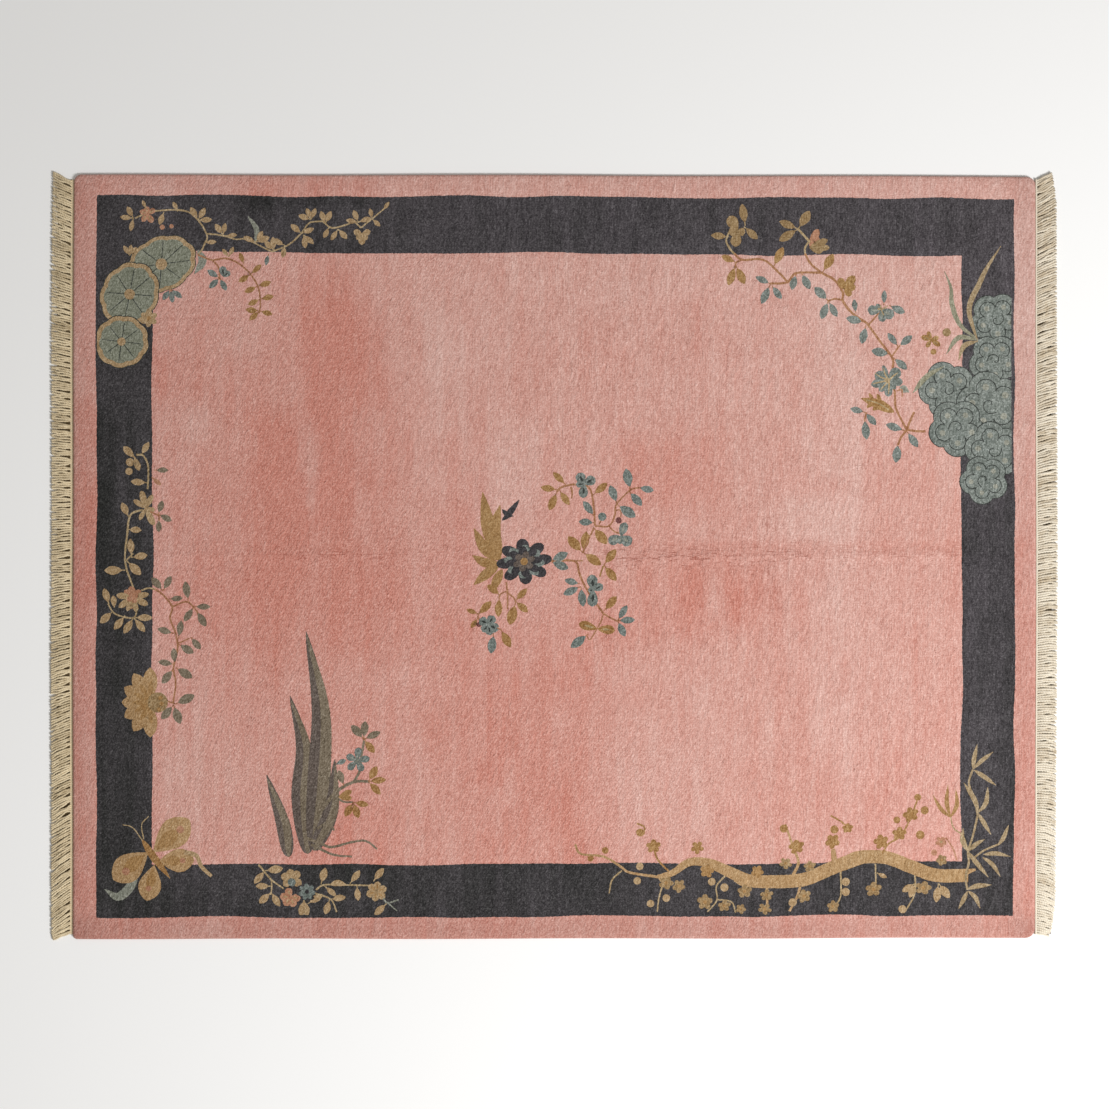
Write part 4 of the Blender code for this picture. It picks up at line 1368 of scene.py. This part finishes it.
# A noise: the size of its blotches in metres, across and along the rug, how finely it is broken up,
# where it is taken from, and its turn in degrees
Grain = namedtuple("Grain", "across along detail seed turn", defaults=(0.0,))
CLOUDS = Grain(0.12, 0.30, 3.0, 0.0)
STREAKS = Grain(0.026, 0.30, 2.0, 3.0)
PATCHES = Grain(0.10, 0.13, 3.0, 5.0)
COLUMNS = Grain(0.0050, 0.022, 1.0, 7.0)
COMBED = Grain(0.0044, 0.010, 2.0, 11.0, LEAN)
TUFTS = Grain(0.0036, 0.0036, 1.0, 13.0)
SLITS = Grain(0.007, 0.020, 0.0, 17.0, LEAN)
SLIT_AREAS = Grain(0.022, 0.030, 1.0, 37.0)
COMBING = Grain(0.4, 0.5, 1.0, 19.0)
RIDGES = Grain(0.014, 0.050, 1.0, 31.0, LEAN)
WRINKLES = Grain(0.060, 0.010, 2.0, 29.0)
WRINKLE_GAPS = Grain(0.048, 0.014, 1.0, 41.0)
CROSS_WRINKLES = Grain(0.010, 0.060, 2.0, 43.0)
CROSS_GAPS = Grain(0.014, 0.048, 1.0, 55.0)
COTTON_SOIL = Grain(0.012, 0.03, 3.0, 2.0)
FIBRES = Grain(0.0011, 0.0011, 2.0, 4.0)

Cells = namedtuple("Cells", "across along seed output randomness")
KNOT_SPOTS = Cells(0.0040, 0.0040, 23.0, "Color", 0.7)
KNOT_ROWS = Cells(0.0082, 0.0074, 27.0, "Distance", 0.40)
CELL_HEIGHT = 0.05  # more than the pile's, so that a cell goes all the way down

# How much each thing that shows in the pile lights it, and how far it raises its surface in metres
Part = namedtuple("Part", "light relief")
PARTS = {
    "lie": Part(0.48, 0.0017),
    "combed": Part(0.12, 0.0006),
    "ridges": Part(0.05, 0.0018),
    "tufts": Part(0.62, 0.0008),
    "rows": Part(-0.12, -0.0004),
    "patches": Part(0.08, 0.0),
    "slits": Part(-0.24, -0.0006),
    "wrinkles": Part(-0.55, -0.0006),
}
CLOUD_SHARE, STREAK_SHARE, PATCH_SHARE = 0.25, 0.70, 0.30  # in how pale the dye is
DEEPENING, BRIGHTENING = 0.85, 0.40  # by the light that falls on a knot
SLIT_LINE, WRINKLE_LINE = 0.045, 0.040
# From which value of its noise each of these begins to show, and from which it shows in full
SLITS_OPEN, GAPS_CLOSE, COMBED_OVER = (0.10, 0.18), (-0.10, 0.04), (0.30, 0.70)
WOOL_SURFACE = {"Roughness": 0.95, "Specular IOR Level": 0.15, "Sheen Weight": 0.10, "Sheen Roughness": 0.5}

COTTON_SOIL_SHARE = 0.8
# Shades below nought are painted shadow, darkened by the second pair and deepened by the gamma below
COTTON_FADE, COTTON_PAINTED_SHADOW = (0.1, 0.9), (-1.2, 0.0)  # the shades from the first to the last effect
PAINTED_SHADOW_GAMMA = 0.8
FIBRE_LIGHT, FIBRE_RELIEF = 0.30, 0.0004
COTTON_SURFACE = {"Roughness": 0.9, "Specular IOR Level": 0.2}


def add_node(tree, kind, values=(), output=0, **settings):
    """Adds a node, fills or links its inputs, and gives back one of its outputs."""
    node = tree.nodes.new(kind)
    for name, value in settings.items():
        setattr(node, name, value)
    for key, value in dict(values).items():
        if isinstance(value, bpy.types.NodeSocket):
            tree.links.new(value, node.inputs[key])
        else:
            node.inputs[key].default_value = value
    return node.outputs[output]


def calc(tree, operation, *values):
    return add_node(tree, "ShaderNodeMath", enumerate(values), operation=operation)


def point_value(tree, name):
    return add_node(tree, "ShaderNodeAttribute", output="Fac", attribute_name=name)


def placed(tree, location, turn, scale):
    """Places on the object, in a frame that is moved, turned in degrees and stretched."""
    values = {
        "Vector": add_node(tree, "ShaderNodeTexCoord", output="Object"),
        "Location": location,
        "Rotation": (0, 0, math.radians(turn)),
        "Scale": scale,
    }
    return add_node(tree, "ShaderNodeMapping", values, vector_type="TEXTURE")


def grain(tree, row):
    """A noise from about -0.5 to 0.5."""
    place = placed(tree, (row.seed, row.seed, 0), row.turn, (row.across, row.along, row.across))
    values = {"Vector": place, "Scale": 1.0, "Detail": row.detail}
    return calc(tree, "SUBTRACT", add_node(tree, "ShaderNodeTexNoise", values), 0.5)


def weighted(tree, parts):
    """The sum of several values, each times its weight."""
    total = 0.0
    for value, weight in parts:
        total = calc(tree, "MULTIPLY_ADD", value, weight, total)
    return total


def ramp(tree, value, low, high):
    """0 where the value is at or below low, 1 where it is at or above high."""
    values = {"Value": value, "From Min": low, "From Max": high}
    return add_node(tree, "ShaderNodeMapRange", values, interpolation_type="SMOOTHSTEP")


def cells(tree, row):
    """A cell for each knot: its own value, or the distance from its middle, less 0.5."""
    place = placed(tree, (row.seed, row.seed, 0), 0.0, (row.across, row.along, CELL_HEIGHT))
    values = {"Vector": place, "Scale": 1.0, "Randomness": row.randomness}
    return calc(tree, "SUBTRACT", add_node(tree, "ShaderNodeTexVoronoi", values, output=row.output), 0.5)


def hairlines(tree, value, width):
    """1 along thin lines where a value passes through nought, and 0 away from them."""
    return ramp(tree, calc(tree, "ABSOLUTE", value), width, 0.0)


def wrinkled(tree, name, lines, gaps):
    """Fine wavy lines along a fold, broken up, where the point value of this name says."""
    broken = calc(tree, "MULTIPLY", point_value(tree, name), ramp(tree, grain(tree, gaps), *GAPS_CLOSE))
    return calc(tree, "MULTIPLY", hairlines(tree, grain(tree, lines), WRINKLE_LINE), broken)


def mixed_colour(tree, share, deep, pale):
    values = {"Factor": share, 6: deep, 7: pale}
    return add_node(tree, "ShaderNodeMix", values, output=2, data_type="RGBA")


def shaded(tree, colour, gamma, light):
    """A colour made deeper by a gamma and then brighter or darker by a light."""
    deepened = add_node(tree, "ShaderNodeGamma", {"Color": colour, "Gamma": gamma})
    return add_node(tree, "ShaderNodeVectorMath", {0: deepened, "Scale": light}, operation="SCALE")


def pile_parts(tree):
    """What shows in the pile, by its name in PARTS."""
    combed = grain(tree, COMBED)
    combing = weighted(tree, ((grain(tree, COMBING), 1.0), (point_value(tree, "combing"), 1.0)))
    lies = {"Factor": ramp(tree, combing, *COMBED_OVER), 2: grain(tree, COLUMNS), 3: combed}
    slits = hairlines(tree, grain(tree, SLITS), SLIT_LINE)
    along = wrinkled(tree, "crease", WRINKLES, WRINKLE_GAPS)
    across = wrinkled(tree, "cross", CROSS_WRINKLES, CROSS_GAPS)
    return {
        "lie": add_node(tree, "ShaderNodeMix", lies, data_type="FLOAT"),
        "combed": combed,
        "ridges": grain(tree, RIDGES),
        "tufts": grain(tree, TUFTS),
        "rows": cells(tree, KNOT_ROWS),
        "patches": grain(tree, PATCHES),
        "slits": calc(tree, "MULTIPLY", slits, ramp(tree, grain(tree, SLIT_AREAS), *SLITS_OPEN)),
        "wrinkles": calc(tree, "MAXIMUM", along, across),
    }


def add_sockets(tree):
    """Adds what the wool's look is given and what it gives back."""
    for name in ("Deep", "Pale"):
        tree.interface.new_socket(name, in_out="INPUT", socket_type="NodeSocketColor")
    tree.interface.new_socket("Speckle", in_out="INPUT", socket_type="NodeSocketFloat")
    tree.interface.new_socket("Colour", in_out="OUTPUT", socket_type="NodeSocketColor")
    tree.interface.new_socket("Height", in_out="OUTPUT", socket_type="NodeSocketFloat")
    return tree.nodes.new("NodeGroupInput").outputs, tree.nodes.new("NodeGroupOutput").inputs


def wool_look():
    """The shared look of sheared wool: its dye, the lie of its pile, tufts, slits and wrinkles."""
    tree = bpy.data.node_groups.new("sheared wool", "ShaderNodeTree")
    given, result = add_sockets(tree)
    parts = pile_parts(tree)
    pale_shares = (
        (grain(tree, CLOUDS), CLOUD_SHARE),
        (grain(tree, STREAKS), STREAK_SHARE),
        (parts["patches"], PATCH_SHARE),
        (point_value(tree, "fade_and_painted_light"), 1.0),
    )
    # the pile's colour: its dye, with painted light that pales it to the right and painted shade by the fold
    dye_and_painted_light = mixed_colour(tree, weighted(tree, pale_shares), given["Deep"], given["Pale"])
    speckle = calc(tree, "MULTIPLY", cells(tree, KNOT_SPOTS), given["Speckle"])
    light = weighted(tree, [(parts[name], part.light) for name, part in PARTS.items()])
    light = calc(tree, "ADD", light, speckle)
    clean = calc(tree, "SUBTRACT", 1.0, point_value(tree, "soil"))
    lit = calc(tree, "MULTIPLY", calc(tree, "MULTIPLY_ADD", light, BRIGHTENING, 1.0), clean)
    colour = shaded(tree, dye_and_painted_light, calc(tree, "MULTIPLY_ADD", light, -DEEPENING, 1.0), lit)
    height = weighted(tree, [(parts[name], part.relief) for name, part in PARTS.items()])
    tree.links.new(colour, result["Colour"])
    tree.links.new(height, result["Height"])
    return tree


def new_material(name, surface):
    """A material whose shader has the values of its surface. Gives it, its nodes and its shader."""
    material = bpy.data.materials.new(name)
    material.use_nodes = True
    shader = material.node_tree.nodes["Principled BSDF"]
    for socket, value in surface.items():
        shader.inputs[socket].default_value = value
    return material, material.node_tree, shader


def dress_shader(tree, shader, colour, height):
    """Gives a shader its colour, and a relief in metres."""
    bump = add_node(tree, "ShaderNodeBump", {"Height": height, "Distance": 1.0})
    tree.links.new(colour, shader.inputs["Base Color"])
    tree.links.new(bump, shader.inputs["Normal"])


def wool(look, name, yarn):
    material, tree, shader = new_material(f"{name}_wool", WOOL_SURFACE)
    group = tree.nodes.new("ShaderNodeGroup")
    group.node_tree = look
    group.inputs["Deep"].default_value = yarn.deep
    group.inputs["Pale"].default_value = yarn.pale
    group.inputs["Speckle"].default_value = yarn.speckle
    dress_shader(tree, shader, group.outputs["Colour"], group.outputs["Height"])
    return material


def cotton(name, deep, pale):
    """Undyed cotton, with a little soil, each strand a shade of its own. A higher shade is paler, and
    one below nought is painted shadow, darker and browner, for the depth between the strands."""
    material, tree, shader = new_material(name, COTTON_SURFACE)
    shade, fibres = point_value(tree, "shade"), grain(tree, FIBRES)
    soil_and_shade = weighted(tree, ((shade, 1.0), (grain(tree, COTTON_SOIL), COTTON_SOIL_SHARE)))
    colour = mixed_colour(tree, ramp(tree, soil_and_shade, *COTTON_FADE), deep, pale)
    out_of_painted_shadow = ramp(tree, shade, *COTTON_PAINTED_SHADOW)
    gamma = calc(tree, "MULTIPLY_ADD", out_of_painted_shadow, -PAINTED_SHADOW_GAMMA, 1 + PAINTED_SHADOW_GAMMA)
    light = calc(tree, "MULTIPLY", calc(tree, "MULTIPLY_ADD", fibres, FIBRE_LIGHT, 1.0), out_of_painted_shadow)
    height = weighted(tree, ((fibres, FIBRE_RELIEF),))
    dress_shader(tree, shader, shaded(tree, colour, gamma, light), height)
    return material


# ---------------------------------------------------------------- fringe

STRANDS = 316  # at each end
STRAND_STEPS = 28
STRAND_SIDES = 8
ROOT_SHARE, TIP_SHARE = 0.80, 0.93  # of a strand's full radius
FULL_FROM = 0.30  # of a strand's length, where it has loosened to its full thickness
KNOT_SIZES = (1, 2, 2, 3, 3, 4)  # how many strands leave the web together
SLIT_SHARE = 0.20  # of a strand's length, over which a slit between two bunches closes
TWIST_STEP = 48  # degrees for each step
LOBE = 0.10
LOOSER = 4.5  # how much looser the strands lie where their shade falls off
SWING, SWING_WAVES = (0.0006, 0.0028), (0.9, 2.1)  # how far a strand sways to and fro, and how often
TIP_END = 0.7  # of its radius, where a strand is cut off
LEAST_KNOT, MOST_BUNCH = 0.1, 0.03  # how far strands are drawn together, in strands
SLANTS = ((5.0, 0.090), (1.2, 0.034), (1.6, 0.011))  # how many degrees it strays, over what length
SLANT_SLIP = 1.5  # degrees
TIP_SLANT = 1.1  # how much more a strand's tip strays than its root
REACH_SLIP = 0.0008
SHADE, SHADE_PATCHES, SHADE_SLIP = 0.64, 0.32, 0.14
SHADE_LENGTH, SHADE_SEED = 0.05, 9  # the length of its patches, and where their noise is taken from

# The outline of a strip across its width, as shares of its width and height
WEB = ((0.0, 0.0), (0.0, 0.8), (0.25, 1.0), (0.5, 0.93), (0.75, 1.0), (1.0, 0.8), (1.0, 0.0))
SHADOW_HEM = ((0.02, 0.0), (0.02, 1.0), (0.5, 1.0), (1.0, 0.6), (1.0, 0.0))
STRIP_STEP = 0.0035
STRIP_SWELL = 0.14  # of its height, up and down by turns
WEB_SHADE = 1.0
SHADOW_HEM_HEIGHT = 0.0010  # of the flat-woven hem that shows between the strands, dark with painted shadow
SHADOW_HEM_WIDTH = 0.052
# a shade below nought, which paints the hem dark as the shadow between the strands
SHADOW_HEM_SHADE = -0.74

# How a strand lies: knot is how far it is drawn sideways at the share slit, bunch how far at its tip
Strand = namedtuple("Strand", "root lie radius lift knot slit bunch")


def lie_at(lies, at):
    after = next(i for i in range(1, len(lies)) if at <= lies[i].at or i == len(lies) - 1)
    low, high = lies[after - 1], lies[after]
    share = (at - low.at) / (high.at - low.at)
    return Lie(*(a + share * (b - a) for a, b in zip(low, high)))


def strand_path(lie, share):
    root, tip = math.tan(math.radians(lie.root)), math.tan(math.radians(lie.tip))
    return lie.reach * share, lie.reach * (root * share + (tip - root) * share**2 / 2)


def strand_radius(full, share):
    if share < FULL_FROM:
        return full * (ROOT_SHARE + (1 - ROOT_SHARE) * math.sin(math.pi / 2 * share / FULL_FROM))
    return full * (1 + (TIP_SHARE - 1) * (share - FULL_FROM) / (1 - FULL_FROM))


def strand_places(strand, out, chance):
    """Where a strand lies on the floor from its root to its tip, with its radius there."""
    phase, waves = chance.uniform(0, math.tau), chance.uniform(*SWING_WAVES)
    swing = chance.uniform(*SWING)
    lift = chance.uniform(0, 1) ** 2 * strand.lift
    places = []
    for step in range(STRAND_STEPS + 1):
        share = step / STRAND_STEPS
        away, drift = strand_path(strand.lie, share)
        drift += swing * share * math.sin(phase + waves * math.tau * share)
        drawn = strand.knot * math.exp(-(((share - strand.slit) / SLIT_SHARE) ** 2))
        drift += drawn + strand.bunch * share**2
        radius = strand_radius(strand.radius, share)
        high = radius + lift * math.sin(math.pi * share) ** 2
        places.append((strand.root + Vector((out * away, drift, high)), radius))
    return places


def add_strand(verts, faces, strand, out, chance):
    """A two-ply twisted strand from its root in the web to its tip."""
    twist = chance.uniform(0, 360)
    places = strand_places(strand, out, chance)
    start = len(verts)
    for step, (place, radius) in enumerate(places):
        ahead = places[min(step + 1, STRAND_STEPS)][0]
        behind = places[max(step - 1, 0)][0]
        along = (ahead - behind).normalized()
        side = Vector((-along.y, along.x, 0)).normalized()
        up = along.cross(side)
        if step == STRAND_STEPS:
            radius *= TIP_END
        for corner in range(STRAND_SIDES):
            angle = math.tau * corner / STRAND_SIDES
            reach = radius * (1 - LOBE + LOBE * math.cos(2 * angle))
            angle += math.radians(twist + TWIST_STEP * step)
            verts.append(place + (side * math.cos(angle) + up * math.sin(angle)) * reach)
    for step in range(STRAND_STEPS):
        ring, after = start + step * STRAND_SIDES, start + (step + 1) * STRAND_SIDES
        for corner in range(STRAND_SIDES):
            beside = (corner + 1) % STRAND_SIDES
            faces.append((ring + corner, after + corner, after + beside, ring + beside))
    faces.append(tuple(start + corner for corner in range(STRAND_SIDES)))
    last = start + STRAND_STEPS * STRAND_SIDES
    faces.append(tuple(last + corner for corner in reversed(range(STRAND_SIDES))))


def knotted(chance, end):
    """For each strand, how far its knot and its bunch draw it sideways, in strands, and where its
    slit is."""
    pulls = []
    while len(pulls) < STRANDS:
        size = min(chance.choice(KNOT_SIZES), STRANDS - len(pulls))
        knot, bunch = chance.uniform(LEAST_KNOT, end.knot), chance.uniform(0, MOST_BUNCH)
        slit = chance.uniform(0, end.slits)
        pulls += [(((size - 1) / 2 - i) * knot, slit, ((size - 1) / 2 - i) * bunch) for i in range(size)]
    return pulls


def strand_at(end, number, pull, chance):
    """The strand with this number, counted along the end from the bottom."""
    pitch = (PILE_WIDTH - 2 * WEB_END_INSET) / STRANDS
    y = pitch * (number + 0.5 - STRANDS / 2)
    at = 2 * y / PILE_WIDTH
    x = end.out * (PILE_LENGTH / 2 + END_GAP + end.root) + stray(end.edge, at)
    lie = lie_at(end.lies, at)
    turn = sum(size * noise.noise(Vector((y / length, end.seed, size))) for size, length in SLANTS)
    turn += chance.uniform(-SLANT_SLIP, SLANT_SLIP)
    reach = lie.reach + ROOT_OUT - end.root + chance.uniform(-REACH_SLIP, REACH_SLIP)
    lie = Lie(at, lie.root + turn, lie.tip + TIP_SLANT * turn, reach)
    knot, slit, bunch = pull
    loose = 1 + LOOSER * end.fall * at
    root = Vector((x, y, 0))
    return Strand(root, lie, end.radius, loose * end.lift, loose * knot * pitch, slit, bunch * pitch)


def strand_shade(end, strand, chance):
    """How pale a strand is, from dark at 0 to pale at 1, with painted shade towards the top by the fall."""
    patches = noise.noise(Vector((strand.root.y / SHADE_LENGTH, end.seed, SHADE_SEED)))
    slip = chance.uniform(-SHADE_SLIP, SHADE_SLIP)
    return SHADE + SHADE_PATCHES * patches + slip - end.fall * strand.lie.at


def build_fringe(end, shift):
    chance = random.Random(end.seed)
    verts, faces, shades = [], [], []
    for number, pull in enumerate(knotted(chance, end)):
        strand = strand_at(end, number, pull, chance)
        add_strand(verts, faces, strand, end.out, chance)
        shades += [strand_shade(end, strand, chance)] * (len(verts) - len(shades))
    add_strip(verts, faces, end, WEB, end.web, end.high)
    shades += [WEB_SHADE] * (len(verts) - len(shades))
    # the hem under the strands, in painted shadow
    add_strip(verts, faces, end, SHADOW_HEM, SHADOW_HEM_WIDTH, SHADOW_HEM_HEIGHT)
    shades += [SHADOW_HEM_SHADE] * (len(verts) - len(shades))
    made = make_object(end.name, [Vector(v) + shift for v in verts], faces)
    add_values(made, "shade", shades)
    return made


def add_strip(verts, faces, end, profile, width, height):
    """A narrow woven strip along the end of the pile, with a swell for each strand that it holds."""
    out, edge = end.out, end.edge
    half = PILE_WIDTH / 2 - WEB_END_INSET
    count = round(2 * half / STRIP_STEP)
    start = len(verts)
    for i in range(count + 1):
        y = -half + 2 * half * i / count
        x = out * (PILE_LENGTH / 2 + END_GAP) + stray(edge, 2 * y / PILE_WIDTH)
        swell = 1 + STRIP_SWELL * (1 if i % 2 else -1)
        for away, high in profile:
            verts.append(Vector((x + out * away * width, y, high * height * (swell if high else 1))))
    size = len(profile)
    for i in range(count):
        ring, after = start + i * size, start + (i + 1) * size
        for j in range(size):
            k = (j + 1) % size
            faces.append((ring + j, ring + k, after + k, after + j)[:: int(out)])
    for ring, flip in ((start, 1), (start + count * size, -1)):
        faces.append(tuple(ring + j for j in range(size))[:: int(-out * flip)])


# ---------------------------------------------------------------- stage

VIEW_WIDTH = 3.514  # metres across the photograph at the pile's height
VIEW_OFF = Vector((0.0008, 0.0074))  # of the camera from the pile's middle
LENS, SENSOR = 50.0, 36.0
FLOOR_SIZE = 14.0
FLOOR_HEIGHT = -0.0004
FLOOR_SURFACE = {"Base Color": (0.93, 0.93, 0.93, 1), "Roughness": 0.9}
LAMP_PLACE = Vector((5.6, -4.3, 6.2))
LAMP_SIZE, LAMP_POWER = 2.5, 880
ROOM_COLOUR, ROOM_LIGHT = (1.0, 0.97, 0.92, 1), 0.34


def add_camera(middle):
    data = bpy.data.cameras.new("camera")
    data.lens, data.sensor_width, data.sensor_fit = LENS, SENSOR, "HORIZONTAL"
    camera = bpy.data.objects.new("camera", data)
    camera.location = (middle.x + VIEW_OFF.x, middle.y + VIEW_OFF.y, VIEW_WIDTH * LENS / SENSOR + THICKNESS)
    bpy.context.scene.collection.objects.link(camera)
    bpy.context.scene.camera = camera


def add_floor():
    half = FLOOR_SIZE / 2
    corners = ((-half, -half), (half, -half), (half, half), (-half, half))
    floor = make_object("floor", [(*corner, FLOOR_HEIGHT) for corner in corners], [(0, 1, 2, 3)])
    floor.data.materials.append(new_material("pale_floor", FLOOR_SURFACE)[0])


def add_light():
    """A large soft lamp from the lower right, and an even light from all sides."""
    light = bpy.data.lights.new("softbox", "AREA")
    light.shape, light.size, light.energy = "SQUARE", LAMP_SIZE, LAMP_POWER
    lamp = bpy.data.objects.new("softbox", light)
    lamp.location = LAMP_PLACE
    lamp.rotation_euler = (-LAMP_PLACE).to_track_quat("-Z", "Y").to_euler()
    bpy.context.scene.collection.objects.link(lamp)
    world = bpy.data.worlds.new("room")
    world.use_nodes = True
    world.node_tree.nodes["Background"].inputs["Color"].default_value = ROOM_COLOUR
    world.node_tree.nodes["Background"].inputs["Strength"].default_value = ROOM_LIGHT
    bpy.context.scene.world = world


def build_stage(middle):
    add_camera(middle)
    add_floor()
    add_light()
    bpy.context.scene.view_settings.view_transform = "Standard"


# ---------------------------------------------------------------- the whole rug

# What one end's fringe is made of: web is the width of the woven web, high its height, and root how far
# out the strands begin; lift is how far a strand may lift off the floor; knot is the most that strands
# are drawn together at a slit, and slits the furthest share of their length at which one opens; fall is
# how much darker and looser the strands get towards the top, the darkening painted shade where the
# lamp's light falls off.
End = namedtuple("End", "name node out lies edge seed web high root radius lift knot slits fall deep pale")
ENDS = (
    End(
        name="left_fringe",
        node="fringe_left",
        out=-1,
        lies=LEFT_LIE,
        edge=LEFT,
        seed=21,
        web=0.011,
        high=0.003,
        root=0.0085,
        radius=0.0040,
        lift=0.0042,
        knot=0.60,
        slits=0.24,
        fall=0.0,
        deep=screen(176, 157, 124),
        pale=screen(225, 208, 175),
    ),
    End(
        name="right_fringe",
        node="fringe_right",
        out=1,
        lies=RIGHT_LIE,
        edge=RIGHT,
        seed=22,
        web=0.006,
        high=0.0075,
        root=0.0045,
        radius=0.0046,
        lift=0.0034,
        knot=0.36,
        slits=0.75,
        fall=0.14,
        deep=screen(186, 169, 143),
        pale=screen(223, 213, 195),
    ),
)


def dress_pile(verts, faces, yarns, flat, shift):
    pile = make_object("wool_pile", [Vector(v) + shift for v in verts], faces)
    for name, value_at in POINT_VALUES.items():
        add_values(pile, name, [value_at(*place) for place in flat])
    look = wool_look()
    for name, yarn in YARNS.items():
        pile.data.materials.append(wool(look, name, yarn))
    pile.data.polygons.foreach_set("material_index", [YARN_NAMES.index(yarn) for yarn in yarns])
    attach(pile, "root")
    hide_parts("pile")
    return pile


def dress_end(end, shift):
    fringe = build_fringe(end, shift)
    fringe.data.materials.append(cotton(f"{end.name}_cotton", end.deep, end.pale))
    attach(fringe, "root")
    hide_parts(end.node)
    return fringe


def main():
    low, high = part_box("pile")
    build_stage((low + high) / 2)
    verts, faces, yarns, flat = build_pile(random.Random(PILE_SEED))
    own = [(min(v[i] for v in verts) + max(v[i] for v in verts)) / 2 for i in range(2)]
    shift = Vector(((low.x + high.x) / 2 - own[0], (low.y + high.y) / 2 - own[1], 0))
    pile = dress_pile(verts, faces, yarns, flat, shift)
    fringes = [dress_end(end, shift) for end in ENDS]


main()
